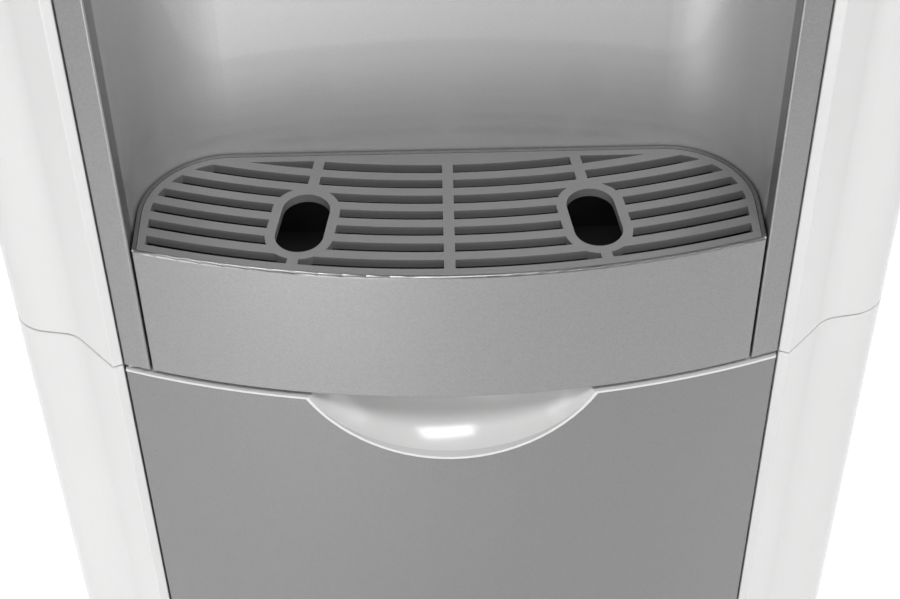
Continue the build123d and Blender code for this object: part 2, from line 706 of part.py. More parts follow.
# ================================================================ niche
with BuildPart() as niche_liner:
    with BuildSketch(Plane.XY.offset(NICHE_FLOOR_Z - NICHE_T)):
        add(niche_plan(NICHE_T, FASCIA_BACK_Y))
    extrude(amount=NICHE_TOP_Z - NICHE_FLOOR_Z + 2 * NICHE_T)
    with BuildSketch(Plane.XY.offset(NICHE_FLOOR_Z)):
        add(niche_plan(0, FASCIA_BACK_Y - 1))
    extrude(amount=NICHE_TOP_Z - NICHE_FLOOR_Z, mode=Mode.SUBTRACT)
    with BuildSketch(Plane.XY.offset(FASCIA_Z0)):
        add(niche_plan(NICHE_T, FASCIA_BACK_Y))
        add(niche_plan(0, FASCIA_BACK_Y + NICHE_T), mode=Mode.SUBTRACT)
    extrude(amount=NICHE_FLOOR_Z - FASCIA_Z0)
    with BuildSketch(Plane.XY.offset(DECK_Z + DECK_T)):
        add(niche_plan(NICHE_T, FASCIA_BACK_Y))
        add(niche_plan(0, FASCIA_BACK_Y), mode=Mode.SUBTRACT)
        add(box_plan(-HALF_WIDTH, HALF_WIDTH, FRONT_Y, CAB_FRONT_Y + 2 * CAB_T), mode=Mode.SUBTRACT)
    extrude(amount=FASCIA_Z0 - DECK_Z - DECK_T)
    for side in (-1, 1):
        with BuildSketch(rear_plane(side * TAP_X, NICHE_REAR_Y - 1, TAP_Z)):
            Circle(SHANK_R + SHANK_FIT)
        extrude(amount=NICHE_T + 2, mode=Mode.SUBTRACT)
keep(niche_liner, "niche_liner")

# ================================================================ top cover, bottle seat and probe
with BuildPart() as top_cover:
    with BuildSketch(Plane.XY.offset(HEAD_TOP_Z)):
        add(cover_outline(0))
    extrude(amount=COVER_TIER)
    fillet(top_cover.edges().group_by(Axis.Z)[-1], 1.2)
    with BuildSketch(Plane.XY.offset(HEAD_TOP_Z + COVER_TIER)):
        add(dome_plan(0))
    extrude(amount=COVER_H - COVER_TIER)
    fillet(top_cover.edges().group_by(Axis.Z)[-1], COVER_EDGE_R)
    with BuildSketch(Plane.XY.offset(HEAD_TOP_Z)):
        add(cover_outline(COVER_T))
    extrude(amount=COVER_TIER - COVER_T, mode=Mode.SUBTRACT)
    with BuildSketch(Plane.XY.offset(HEAD_TOP_Z)):
        add(dome_plan(2 * COVER_T))
    extrude(amount=COVER_H - COVER_T, mode=Mode.SUBTRACT)
    with BuildSketch(Plane.XY.offset(HEAD_TOP_Z)):
        Circle(SEAT_R + SEAT_GAP)
    extrude(amount=COVER_H, mode=Mode.SUBTRACT)
keep(top_cover, "top_cover")

with BuildPart() as bottle_seat:
    with BuildSketch(Plane.XZ):
        with BuildLine():
            FilletPolyline(
                (SEAT_R + SEAT_FLANGE, COVER_TOP_Z),
                (SEAT_R, COVER_TOP_Z),
                (SEAT_R, COVER_TOP_Z - SEAT_SKIRT),
                (FUNNEL_R, COVER_TOP_Z - FUNNEL_DROP),
                (CUP_R, COVER_TOP_Z - FUNNEL_DROP - CUP_STEP),
                (CUP_R, CUP_Z),
                (PROBE_R + PROBE_FIT, CUP_Z),
                radius=[0, 6, 12, 6, 3],
            )
            offset(amount=SEAT_T, side=Side.RIGHT)
        make_face()
    revolve(axis=Axis.Z)
    with BuildSketch(Plane.XY.offset(COVER_TOP_Z)):
        Circle(SEAT_R + SEAT_FLANGE)
        Circle(SEAT_R + SEAT_FLANGE - SEAT_T, mode=Mode.SUBTRACT)
    extrude(amount=SEAT_LIP_H)
    fillet(bottle_seat.edges().group_by(Axis.Z)[-1], 1.0)
keep(bottle_seat, "bottle_seat")

with BuildPart() as bottle_probe:
    with Locations((0, 0, CUP_Z - PROBE_TAIL)):
        Cylinder(PROBE_R, PROBE_TAIL + SEAT_T + PROBE_H, align=(Align.CENTER, Align.CENTER, Align.MIN))
    with Locations((0, 0, CUP_Z + SEAT_T)):
        Cylinder(PROBE_FLANGE_R, PROBE_FLANGE_T, align=(Align.CENTER, Align.CENTER, Align.MIN))
    fillet(bottle_probe.edges().group_by(Axis.Z)[-1], PROBE_R - 2)
    with Locations((0, 0, CUP_Z - PROBE_TAIL)):
        Cylinder(
            PROBE_BORE_R,
            PROBE_TAIL + PROBE_H - PROBE_R,
            align=(Align.CENTER, Align.CENTER, Align.MIN),
            mode=Mode.SUBTRACT,
        )
    with Locations((0, 0, CUP_Z + PROBE_H - 2 * PROBE_R)):
        Cylinder(PROBE_HOLE_R, 3 * PROBE_R, rotation=(90, 0, 0), mode=Mode.SUBTRACT)
        Cylinder(PROBE_HOLE_R, 3 * PROBE_R, rotation=(0, 90, 0), mode=Mode.SUBTRACT)
keep(bottle_probe, "bottle_probe")

# ================================================================ drip tray, pan and grille
PAN_INSET = TRAY_WALL + PAN_GAP
PAN_TOP_Z = TRAY_Z - GRILLE_T
PAN_Z0 = TRAY_Z - TRAY_DEPTH + TRAY_FLOOR_T

with BuildPart() as drip_tray:
    with BuildSketch(Plane.XY.offset(TRAY_Z - TRAY_DEPTH)):
        add(tray_plan(0, 0))
    extrude(amount=TRAY_DEPTH)
    with BuildSketch(Plane.XY.offset(SEAM_Z + APRON_LIFT)):
        add(bow_plan(TRAY_HALF, 0, APRON_RETURN_Y))
        add(bow_plan(TRAY_HALF - APRON_T, APRON_T, APRON_RETURN_Y + 1), mode=Mode.SUBTRACT)
    extrude(amount=APRON_H - TRAY_DEPTH - APRON_LIFT)
    fillet(drip_tray.edges().filter_by(lambda e: e.center().Y < CHORD_Y), TRAY_EDGE_R)
    with BuildSketch(Plane.XY.offset(TRAY_Z - GRILLE_T)):
        add(tray_plan(RIM_SIDE, RIM_FRONT))
    extrude(amount=GRILLE_T, mode=Mode.SUBTRACT)
    with BuildSketch(Plane.XY.offset(PAN_Z0)):
        add(tray_plan(TRAY_WALL, TRAY_WALL))
    extrude(amount=TRAY_DEPTH, mode=Mode.SUBTRACT)
keep(drip_tray, "drip_tray")

with BuildPart() as drip_pan:
    with BuildSketch(Plane.XY.offset(PAN_Z0)):
        add(tray_plan(PAN_INSET, PAN_INSET))
    extrude(amount=PAN_TOP_Z - PAN_Z0)
    with BuildSketch(Plane.XY.offset(PAN_Z0 + PAN_T)):
        add(tray_plan(PAN_INSET + PAN_T, PAN_INSET + PAN_T))
    extrude(amount=PAN_TOP_Z - PAN_Z0, mode=Mode.SUBTRACT)
    with BuildSketch(Plane.XY.offset(PAN_TOP_Z - PAN_TAB_DROP)):
        add(
            box_plan(
                -PAN_TAB_HALF,
                PAN_TAB_HALF,
                TRAY_REAR_Y - PAN_INSET - PAN_T - PAN_TAB_DEPTH,
                TRAY_REAR_Y - PAN_INSET,
            )
        )
    extrude(amount=PAN_TAB_T)
keep(drip_pan, "drip_pan")

with BuildPart() as drip_grille:
    with BuildSketch(Plane.XY.offset(TRAY_Z - GRILLE_T)):
        add(tray_plan(RIM_SIDE + GRILLE_GAP, RIM_FRONT + GRILLE_GAP))
    extrude(amount=GRILLE_T)
    with BuildSketch(Plane.XY.offset(TRAY_Z - GRILLE_T)) as slots:
        with Locations((0, BOW_CENTRE_Y)):
            for row in range(SLOT_ROWS):
                Circle(BOW_R - SLOT_FRONT - row * SLOT_PITCH)
                Circle(BOW_R - SLOT_FRONT - row * SLOT_PITCH - SLOT_W, mode=Mode.SUBTRACT)
        add(tray_plan(GRILLE_BORDER, SLOT_FRONT), mode=Mode.INTERSECT)
        add(box_plan(-BAR_W / 2, BAR_W / 2, FRONT_Y, NICHE_REAR_Y), mode=Mode.SUBTRACT)
        for side in (-1, 1):
            with Locations(Location((0, BOW_CENTRE_Y), side * OVAL_ANGLE)):
                with Locations((0, -OVAL_R)):
                    Rectangle(BAR_W, 2 * NICHE_DEPTH, mode=Mode.SUBTRACT)
                    SlotOverall(
                        OVAL_LENGTH + 2 * OVAL_RIM, OVAL_WIDTH + 2 * OVAL_RIM, rotation=90, mode=Mode.SUBTRACT
                    )
                    SlotOverall(OVAL_LENGTH, OVAL_WIDTH, rotation=90)
    extrude(amount=GRILLE_T, mode=Mode.SUBTRACT)
keep(drip_grille, "drip_grille")

# ================================================================ door
DOOR_SKIN_TOP = DOOR_Z1 - BEAD
with BuildPart() as door_skin:
    with BuildSketch(Plane.XY.offset(DOOR_Z0)):
        add(bow_plan(DOOR_HALF, 0, CHORD_Y + SKIN_DEPTH))
    extrude(amount=DOOR_SKIN_TOP - DOOR_Z0)
    fillet(door_skin.edges().filter_by(Axis.Z).group_by(Axis.Y)[0], SKIN_T / 2)
    with BuildSketch(Plane.XY.offset(DOOR_Z0 + SKIN_T)):
        add(bow_plan(DOOR_HALF - SKIN_T, SKIN_T, CHORD_Y + SKIN_DEPTH))
    extrude(amount=DOOR_SKIN_TOP - DOOR_Z0, mode=Mode.SUBTRACT)
    with BuildSketch(front_plane(0, CHORD_Y, SCOOP_Z)):
        Circle(SCOOP_R + SCOOP_LIP + DOOR_FIT)
    extrude(amount=2 * BOW_RISE, mode=Mode.SUBTRACT)
    with BuildSketch(Plane.XY.offset(DOOR_Z0)):
        with Locations((HINGE_X, HINGE_Y)):
            Circle(HINGE_PIN_R + HINGE_CLEAR)
    extrude(amount=SKIN_T, mode=Mode.SUBTRACT)
keep(door_skin, "door_skin")

with BuildPart() as scoop_bowl:
    with BuildSketch(Plane.XY):
        with BuildLine():
            rim = Line((0, FRONT_Y), (SCOOP_R + SCOOP_LIP, FRONT_Y))
            wall = ThreePointArc(
                (SCOOP_R + SCOOP_LIP, FRONT_Y + SCOOP_DEPTH / 4),
                (SCOOP_R + SCOOP_WALL - SCOOP_SLOPE / 3, FRONT_Y + 3 * SCOOP_DEPTH / 4),
                (SCOOP_R + SCOOP_WALL - SCOOP_SLOPE, FRONT_Y + SCOOP_DEPTH + SCOOP_WALL),
            )
            Polyline(rim @ 1, wall @ 0)
            Polyline(wall @ 1, (0, FRONT_Y + SCOOP_DEPTH + SCOOP_WALL), (0, FRONT_Y))
        make_face()
    revolve(axis=Axis.Y)
scoop_outer = scoop_bowl.part.moved(Location((0, 0, SCOOP_Z)))

with BuildPart() as scoop_hollow:
    with BuildSketch(Plane.XY):
        with BuildLine():
            rim = Line((0, FRONT_Y - 1), (SCOOP_R, FRONT_Y - 1))
            wall = ThreePointArc(
                (SCOOP_R, FRONT_Y + SCOOP_DEPTH / 8),
                (SCOOP_R - SCOOP_SLOPE / 3, FRONT_Y + 5 * SCOOP_DEPTH / 8),
                (SCOOP_R - SCOOP_SLOPE, FRONT_Y + SCOOP_DEPTH),
            )
            Polyline(rim @ 1, wall @ 0)
            Polyline(wall @ 1, (0, FRONT_Y + SCOOP_DEPTH), (0, FRONT_Y - 1))
        make_face()
    revolve(axis=Axis.Y)
scoop_inner = scoop_hollow.part.moved(Location((0, 0, SCOOP_Z)))

with BuildPart() as door_block:
    with BuildSketch(Plane.XY.offset(DOOR_Z0)):
        add(bow_plan(DOOR_HALF, 0, DOOR_REAR_Y))
    extrude(amount=DOOR_Z1 - DOOR_Z0)

with BuildPart() as door_liner:
    with BuildSketch(Plane.XY.offset(DOOR_Z0 + SKIN_T)):
        add(bow_plan(DOOR_HALF - SKIN_T - DOOR_FIT, SKIN_T + DOOR_FIT, DOOR_REAR_Y))
    extrude(amount=DOOR_SKIN_TOP - DOOR_Z0 - SKIN_T)
    with BuildSketch(Plane.XY.offset(DOOR_Z0 + SKIN_T + LINER_T)):
        add(bow_plan(DOOR_HALF - SKIN_T - LINER_SIDE_T, SKIN_T + LINER_T, DOOR_REAR_Y - LINER_T))
    extrude(amount=DOOR_SKIN_TOP - DOOR_Z0 - SKIN_T - 2 * LINER_T, mode=Mode.SUBTRACT)
    for hinge_z in (DOOR_Z0 + SKIN_T, DOOR_SKIN_TOP - HINGE_PIN_L - LINER_T):
        with BuildSketch(Plane.XY.offset(hinge_z)):
            add(box_plan(-DOOR_HALF + SKIN_T + DOOR_FIT, HINGE_X + BRACKET_HALF_W, HINGE_Y - 3, DOOR_REAR_Y))
            add(bow_plan(DOOR_HALF - SKIN_T - DOOR_FIT, SKIN_T + DOOR_FIT, DOOR_REAR_Y), mode=Mode.INTERSECT)
        extrude(amount=HINGE_PIN_L + LINER_T)
    with BuildSketch(Plane.XY.offset(DOOR_SKIN_TOP)):
        add(bow_plan(DOOR_HALF, 0, DOOR_REAR_Y))
    extrude(amount=BEAD)
    add(scoop_outer & door_block.part)
    add(scoop_inner, mode=Mode.SUBTRACT)
    with BuildSketch(Plane.XY.offset(DOOR_Z0)):
        with BuildLine():
            Polyline(
                (-DOOR_HALF, DOOR_REAR_Y),
                (-DOOR_HALF + DOOR_CORNER_CUT, DOOR_REAR_Y),
                (-DOOR_HALF, DOOR_REAR_Y - DOOR_CORNER_CUT),
                close=True,
            )
        make_face()
    extrude(amount=DOOR_Z1 - DOOR_Z0, mode=Mode.SUBTRACT)
    for hinge_z in (DOOR_Z0, DOOR_Z1 - HINGE_PIN_L):
        with BuildSketch(Plane.XY.offset(hinge_z)):
            with Locations((HINGE_X, HINGE_Y)):
                Circle(HINGE_PIN_R + HINGE_CLEAR)
        extrude(amount=HINGE_PIN_L + BRACKET_GAP, mode=Mode.SUBTRACT)
keep(door_liner, "door_liner")

with BuildPart() as door_gasket:
    gasket_half = DOOR_HALF - GASKET_INSET
    with BuildSketch(rear_plane(0, DOOR_REAR_Y, 0)):
        add(box_plan(-gasket_half, gasket_half, DOOR_Z0 + GASKET_INSET, DOOR_Z1 - GASKET_INSET))
        offset(amount=-GASKET_W, kind=Kind.INTERSECTION, mode=Mode.SUBTRACT)
    extrude(amount=GASKET_T)
keep(door_gasket, "door_gasket")

with BuildPart() as hinge_bracket:
    for plate_z, pin_z in (
        (DOOR_Z0 - BRACKET_GAP - BRACKET_T, DOOR_Z0 - BRACKET_GAP),
        (DOOR_Z1 + BRACKET_GAP, DOOR_Z1 + BRACKET_GAP - HINGE_PIN_L),
    ):
        with BuildSketch(Plane.XY.offset(plate_z)):
            add(box_plan(HINGE_X - BRACKET_HALF_W, HINGE_X + BRACKET_HALF_W, HINGE_Y - 3, CAB_FRONT_Y))
        extrude(amount=BRACKET_T)
        with BuildSketch(Plane.XY.offset(pin_z)):
            with Locations((HINGE_X, HINGE_Y)):
                Circle(HINGE_PIN_R)
        extrude(amount=HINGE_PIN_L)
keep(hinge_bracket, "hinge_bracket")

with BuildPart() as magnet_catch:
    with BuildSketch(Plane.XY.offset(CAB_Z1 - CAB_T - CATCH_H)):
        add(box_plan(CATCH_X - CATCH_W / 2, CATCH_X + CATCH_W / 2, CAB_FRONT_Y, CAB_FRONT_Y + CATCH_L))
    extrude(amount=CATCH_H)
    fillet(magnet_catch.edges().filter_by(Axis.Y), 1.5)
keep(magnet_catch, "magnet_catch")

with BuildPart() as strike_plate:
    with BuildSketch(rear_plane(CATCH_X, DOOR_REAR_Y, CAB_Z1 - CAB_T - CATCH_H / 2)):
        Rectangle(CATCH_W - 4, CATCH_H - 4)
    extrude(amount=GASKET_T - STRIKE_GAP)
keep(strike_plate, "strike_plate")

# ================================================================ taps
for tap_name, side in (("cold", -1), ("hot", 1)):
    tap_x = side * TAP_X
    tail_y = NICHE_REAR_Y + NICHE_T + NUT_T + STUB_GRIP
    with BuildPart() as tap_body:
        with BuildSketch(Plane.XY.offset(TAP_Z - BARREL_DOWN)):
            with Locations((tap_x, TAP_Y)):
                Circle(BARREL_R)
        extrude(amount=BARREL_DOWN + BARREL_UP)
        fillet(tap_body.edges().group_by(Axis.Z)[-1], 2.0)
        fillet(tap_body.edges().group_by(Axis.Z)[0], 3.0)
        with BuildSketch(Plane.XY.offset(TAP_Z - BARREL_DOWN)):
            with Locations((tap_x, TAP_Y)):
                Circle(SPOUT_R)
        with BuildSketch(Plane.XY.offset(TAP_Z - BARREL_DOWN - SPOUT_DROP)):
            with Locations((tap_x, TAP_Y)):
                Circle(SPOUT_TIP_R)
        loft()
        with BuildSketch(rear_plane(tap_x, TAP_Y, TAP_Z)):
            Circle(SHANK_R)
        extrude(amount=NICHE_REAR_Y + NICHE_T + NUT_T - TAP_Y)
        with BuildSketch(rear_plane(tap_x, TAP_Y, TAP_Z)):
            Circle(STUB_R)
        extrude(amount=tail_y - TAP_Y)
        with BuildSketch(rear_plane(tap_x, TAP_Y, TAP_Z)):
            Circle(BORE_R)
        extrude(amount=tail_y - TAP_Y, mode=Mode.SUBTRACT)
        with BuildSketch(Plane.XY.offset(TAP_Z - BARREL_DOWN - SPOUT_DROP)):
            with Locations((tap_x, TAP_Y)):
                Circle(SPOUT_BORE_R)
        extrude(amount=BARREL_DOWN + SPOUT_DROP, mode=Mode.SUBTRACT)
        with BuildSketch(Plane.YZ.offset(tap_x)):
            with Locations((TAP_Y, TAP_Z + PIVOT_UP)):
                Circle(PIVOT_R + PIVOT_FIT)
        extrude(amount=BARREL_R, both=True, mode=Mode.SUBTRACT)
    keep(tap_body, f"{tap_name}_tap")

    pivot_z = TAP_Z + PIVOT_UP
    arm_in = BARREL_R + ARM_GAP
    arm_out = arm_in + ARM_T
    with BuildPart() as lever:
        with BuildSketch(Plane.YZ.offset(tap_x)):
            with BuildLine():
                Polyline(
                    (TAP_Y - ARM_R, pivot_z + BRIDGE_UP + BRIDGE_T),
                    (TAP_Y + ARM_R, pivot_z + BRIDGE_UP + BRIDGE_T),
                    (TAP_Y + ARM_R + 2, pivot_z),
                    (TAP_Y + PADDLE_BACK + PADDLE_T, pivot_z - PADDLE_TOP + 8),
                    (TAP_Y + PADDLE_BACK + PADDLE_T, pivot_z - PADDLE_TOP),
                    (TAP_Y + PADDLE_BACK, pivot_z - PADDLE_TOP),
                    (TAP_Y - ARM_R, pivot_z - 8),
                    close=True,
                )
            make_face()
        extrude(amount=arm_out, both=True)
        with BuildSketch(Plane.YZ.offset(tap_x)):
            Rectangle(3 * DEPTH, 3 * HEAD_TOP_Z)
            with Locations((TAP_Y, pivot_z + BRIDGE_UP + BRIDGE_T / 2)):
                Rectangle(4 * ARM_R, BRIDGE_T, mode=Mode.SUBTRACT)
        extrude(amount=arm_in, both=True, mode=Mode.SUBTRACT)
        with BuildSketch(front_plane(tap_x, TAP_Y + PADDLE_BACK + PADDLE_T, pivot_z - PADDLE_BOTTOM)):
            with Locations((0, (PADDLE_BOTTOM - PADDLE_TOP) / 2)):
                Rectangle(2 * arm_out, PADDLE_BOTTOM - PADDLE_TOP)
        extrude(amount=PADDLE_T)
        fillet(lever.edges().filter_by(Axis.Y).group_by(Axis.Z)[0], 6.0)
        with BuildSketch(Plane.YZ.offset(tap_x)):
            with Locations((TAP_Y, pivot_z)):
                Circle(PIVOT_R + PIVOT_FIT)
        extrude(amount=arm_out, both=True, mode=Mode.SUBTRACT)
        if tap_name == "hot":
            with BuildSketch(Plane.XY.offset(pivot_z + BRIDGE_UP)):
                with Locations((tap_x, TAP_Y)):
                    Circle(BUTTON_R + BUTTON_GAP)
            extrude(amount=BRIDGE_T, mode=Mode.SUBTRACT)
    keep(lever, f"{tap_name}_lever")

with BuildPart() as hot_lock_button:
    with BuildSketch(Plane.XY.offset(TAP_Z + PIVOT_UP + BRIDGE_UP - BUTTON_DOWN)):
        with Locations((TAP_X, TAP_Y)):
            Circle(BUTTON_R)
    extrude(amount=BUTTON_DOWN + BRIDGE_T + BUTTON_UP)
    fillet(hot_lock_button.edges().group_by(Axis.Z)[-1], 1.2)
keep(hot_lock_button, "hot_lock_button")

with BuildPart() as tap_pivot_pin:
    for side in (-1, 1):
        with BuildSketch(Plane.YZ.offset(side * TAP_X)):
            with Locations((TAP_Y, TAP_Z + PIVOT_UP)):
                Circle(PIVOT_R)
        extrude(amount=BARREL_R + ARM_GAP + ARM_T, both=True)
keep(tap_pivot_pin, "tap_pivot_pin")

with BuildPart() as tap_collar:
    for side in (-1, 1):
        with BuildSketch(front_plane(side * TAP_X, NICHE_REAR_Y, TAP_Z)):
            Circle(COLLAR_R)
            Circle(SHANK_R + SHANK_FIT, mode=Mode.SUBTRACT)
        extrude(amount=COLLAR_T)
    fillet(tap_collar.edges().group_by(Axis.Y)[0].filter_by(lambda e: e.radius > COLLAR_R - 1), 1.2)
keep(tap_collar, "tap_collar")

with BuildPart() as tap_nut:
    for side in (-1, 1):
        with BuildSketch(rear_plane(side * TAP_X, NICHE_REAR_Y + NICHE_T, TAP_Z)):
            RegularPolygon(NUT_R, 6)
            Circle(SHANK_R + SHANK_FIT, mode=Mode.SUBTRACT)
        extrude(amount=NUT_T)
keep(tap_nut, "tap_nut")

# ================================================================ cold tank
FEED_Y = HOT_Y
COIL_PATH_R = COLD_R + COIL_GAP + COIL_R
COIL_Z0 = TAP_Z + COIL_RISE
FOAM_R = COLD_R + FOAM_T
FOAM_FACE_Y = -math.sqrt(FOAM_R**2 - (TAP_X - SLEEVE_R) ** 2)
COLD_STUB_Y = FOAM_FACE_Y - STUB_GRIP

with BuildPart() as cold_tank:
    with Locations((0, 0, COLD_Z0)):
        Cylinder(COLD_R, COLD_H, align=(Align.CENTER, Align.CENTER, Align.MIN))
    with BuildSketch(front_plane(-TAP_X, -COLD_R / 2, TAP_Z)):
        Circle(STUB_R)
    extrude(amount=-COLD_R / 2 - COLD_STUB_Y)
    with BuildSketch(Plane.XY.offset(COLD_Z0 - FOAM_BOTTOM - BEAM_T - STUB_GRIP)):
        with Locations((0, FEED_Y)):
            Circle(STUB_R)
    extrude(amount=FOAM_BOTTOM + BEAM_T + STUB_GRIP)
    with Locations((0, 0, COLD_Z0 + COLD_WALL)):
        Cylinder(
            COLD_R - COLD_WALL, COLD_H, align=(Align.CENTER, Align.CENTER, Align.MIN), mode=Mode.SUBTRACT
        )
    with BuildSketch(front_plane(-TAP_X, 0, TAP_Z)):
        Circle(BORE_R)
    extrude(amount=-COLD_STUB_Y, mode=Mode.SUBTRACT)
    with BuildSketch(Plane.XY.offset(COLD_Z0 - FOAM_BOTTOM - BEAM_T - STUB_GRIP)):
        with Locations((0, FEED_Y)):
            Circle(BORE_R)
    extrude(amount=FOAM_BOTTOM + BEAM_T + STUB_GRIP + COLD_WALL, mode=Mode.SUBTRACT)
keep(cold_tank, "cold_tank")

with BuildPart() as cold_tank_lid:
    with BuildSketch(Plane.XY.offset(COLD_Z0 + COLD_H)):
        Circle(COLD_R + COLD_LID_T)
        Circle(PROBE_R + LID_GAP, mode=Mode.SUBTRACT)
    extrude(amount=COLD_LID_T)
    fillet(cold_tank_lid.edges().group_by(Axis.Z)[-1].sort_by(SortBy.RADIUS)[-1:], 1.5)
keep(cold_tank_lid, "cold_tank_lid")

with BuildPart() as cold_insulation:
    with Locations((0, 0, COLD_Z0 - FOAM_BOTTOM)):
        Cylinder(FOAM_R, FOAM_BOTTOM + COLD_H, align=(Align.CENTER, Align.CENTER, Align.MIN))
    with Locations((0, 0, COLD_Z0)):
        Cylinder(COLD_R, COLD_H, align=(Align.CENTER, Align.CENTER, Align.MIN), mode=Mode.SUBTRACT)
    coil_bottom = COIL_Z0 - COIL_R - FOAM_CLEAR
    coil_top = COIL_Z0 + COIL_TURNS * COIL_PITCH + COIL_R + FOAM_CLEAR
    with BuildSketch(Plane.XY.offset(coil_bottom)):
        Circle(COIL_PATH_R + COIL_R + FOAM_CLEAR)
    extrude(amount=coil_top - coil_bottom, mode=Mode.SUBTRACT)
    with BuildSketch(front_plane(-TAP_X, 0, TAP_Z)):
        Circle(STUB_R + SLEEVE_FIT)
    extrude(amount=FOAM_R, mode=Mode.SUBTRACT)
    with BuildSketch(Plane.XY.offset(COLD_Z0 - FOAM_BOTTOM)):
        with Locations((0, FEED_Y)):
            Circle(STUB_R + SLEEVE_FIT)
    extrude(amount=FOAM_BOTTOM, mode=Mode.SUBTRACT)
    for side, tail_z in ((1, COIL_Z0), (-1, COIL_Z0 + COIL_TURNS * COIL_PITCH)):
        with BuildSketch(Plane(origin=(0, COIL_PATH_R, tail_z), x_dir=(0, 1, 0), z_dir=(side, 0, 0))):
            Circle(COIL_R + TAIL_CLEAR)
        extrude(amount=FOAM_R, mode=Mode.SUBTRACT)
keep(cold_insulation, "cold_insulation")

with BuildPart() as tank_beam:
    with BuildSketch(Plane.XY.offset(COLD_Z0 - FOAM_BOTTOM - BEAM_T)):
        add(box_plan(-INNER_HALF, INNER_HALF, -BEAM_HALF_W, BEAM_HALF_W))
        with Locations((0, FEED_Y)):
            Circle(STUB_R + LINE_GAP, mode=Mode.SUBTRACT)
    extrude(amount=BEAM_T)
    with BuildSketch(Plane.XY.offset(COLD_Z0 - FOAM_BOTTOM - BEAM_T)):
        add(box_plan(-INNER_HALF, -INNER_HALF + BEAM_T, -BEAM_HALF_W, BEAM_HALF_W))
        add(box_plan(INNER_HALF - BEAM_T, INNER_HALF, -BEAM_HALF_W, BEAM_HALF_W))
    extrude(amount=BEAM_FLANGE)
keep(tank_beam, "tank_beam")

with BuildPart() as evaporator_coil:
    with BuildLine() as coil_path:
        turns = Helix(COIL_PITCH, COIL_TURNS * COIL_PITCH, COIL_PATH_R, center=(0, 0, COIL_Z0), mode=Mode.PRIVATE)
        turns = turns.rotate(Axis.Z, 90)
        add(turns)
        Line(turns @ 0 - turns % 0 * COIL_TAIL, turns @ 0)
        Line(turns @ 1, turns @ 1 + turns % 1 * COIL_TAIL)
    coil_in = turns @ 0 - turns % 0 * COIL_TAIL
    coil_out = turns @ 1 + turns % 1 * COIL_TAIL
    with BuildSketch(Plane(origin=coil_in, z_dir=turns % 0)):
        Circle(COIL_R)
    sweep(path=coil_path.wire())
keep(evaporator_coil, "evaporator_coil")

# ================================================================ hot tank and water lines
HOT_TOP_Z = HOT_Z0 + HOT_H
HOT_STUB_Z = HOT_TOP_Z + JACKET_T + STUB_GRIP
HOT_PORTS = ((0, FEED_Y), (HOT_OUT_X, HOT_Y))
DRAIN_STUB_X = -HOT_R - JACKET_T - STUB_GRIP

with BuildPart() as hot_tank:
    with BuildSketch(Plane.XY.offset(HOT_Z0)):
        with Locations((0, HOT_Y)):
            Circle(HOT_R)
    extrude(amount=HOT_H)
    fillet(hot_tank.edges(), 4.0)
    with BuildSketch(Plane.XY.offset(HOT_TOP_Z - 2 * HOT_WALL)):
        with Locations(*HOT_PORTS):
            Circle(STUB_R)
    extrude(amount=HOT_STUB_Z - HOT_TOP_Z + 2 * HOT_WALL)
    with BuildSketch(Plane(origin=(DRAIN_STUB_X, HOT_Y, DRAIN_Z), x_dir=(0, 1, 0), z_dir=(1, 0, 0))):
        Circle(STUB_R)
    extrude(amount=-DRAIN_STUB_X - HOT_R + 2 * HOT_WALL)
    with BuildSketch(Plane.XY.offset(HOT_Z0 + HOT_WALL)):
        with Locations((0, HOT_Y)):
            Circle(HOT_R - HOT_WALL)
    extrude(amount=HOT_H - 2 * HOT_WALL, mode=Mode.SUBTRACT)
    with BuildSketch(Plane.XY.offset(HOT_TOP_Z - 2 * HOT_WALL)):
        with Locations(*HOT_PORTS):
            Circle(BORE_R)
    extrude(amount=HOT_STUB_Z - HOT_TOP_Z + 2 * HOT_WALL, mode=Mode.SUBTRACT)
    with BuildSketch(Plane(origin=(DRAIN_STUB_X, HOT_Y, DRAIN_Z), x_dir=(0, 1, 0), z_dir=(1, 0, 0))):
        Circle(BORE_R)
    extrude(amount=-DRAIN_STUB_X - HOT_R + 2 * HOT_WALL, mode=Mode.SUBTRACT)
keep(hot_tank, "hot_tank")

with BuildPart() as hot_tank_jacket:
    with BuildSketch(Plane.XY.offset(HOT_Z0 - JACKET_T)):
        with Locations((0, HOT_Y)):
            Circle(HOT_R + JACKET_T)
    extrude(amount=HOT_H + 2 * JACKET_T)
    fillet(hot_tank_jacket.edges().group_by(Axis.Z)[-1], 4.0)
    with BuildSketch(Plane.XY.offset(HOT_Z0)):
        with Locations((0, HOT_Y)):
            Circle(HOT_R)
    extrude(amount=HOT_H, mode=Mode.SUBTRACT)
    with BuildSketch(Plane.XY.offset(HOT_TOP_Z)):
        with Locations(*HOT_PORTS):
            Circle(STUB_R + SLEEVE_FIT)
    extrude(amount=JACKET_T, mode=Mode.SUBTRACT)
    with BuildSketch(Plane(origin=(DRAIN_STUB_X, HOT_Y, DRAIN_Z), x_dir=(0, 1, 0), z_dir=(1, 0, 0))):
        Circle(STUB_R + SLEEVE_FIT)
    extrude(amount=-DRAIN_STUB_X - HOT_R / 2, mode=Mode.SUBTRACT)
keep(hot_tank_jacket, "hot_tank_jacket")

NUT_REAR_Y = NICHE_REAR_Y + NICHE_T + NUT_T
SLEEVE_BORE = STUB_R + SLEEVE_FIT
with BuildPart() as cold_water_hose:
    with BuildSketch(rear_plane(-TAP_X, NUT_REAR_Y + LINE_GAP, TAP_Z)):
        Circle(SLEEVE_R)
        Circle(SLEEVE_BORE, mode=Mode.SUBTRACT)
    extrude(amount=FOAM_FACE_Y - NUT_REAR_Y - 2 * LINE_GAP)
keep(cold_water_hose, "cold_water_hose")

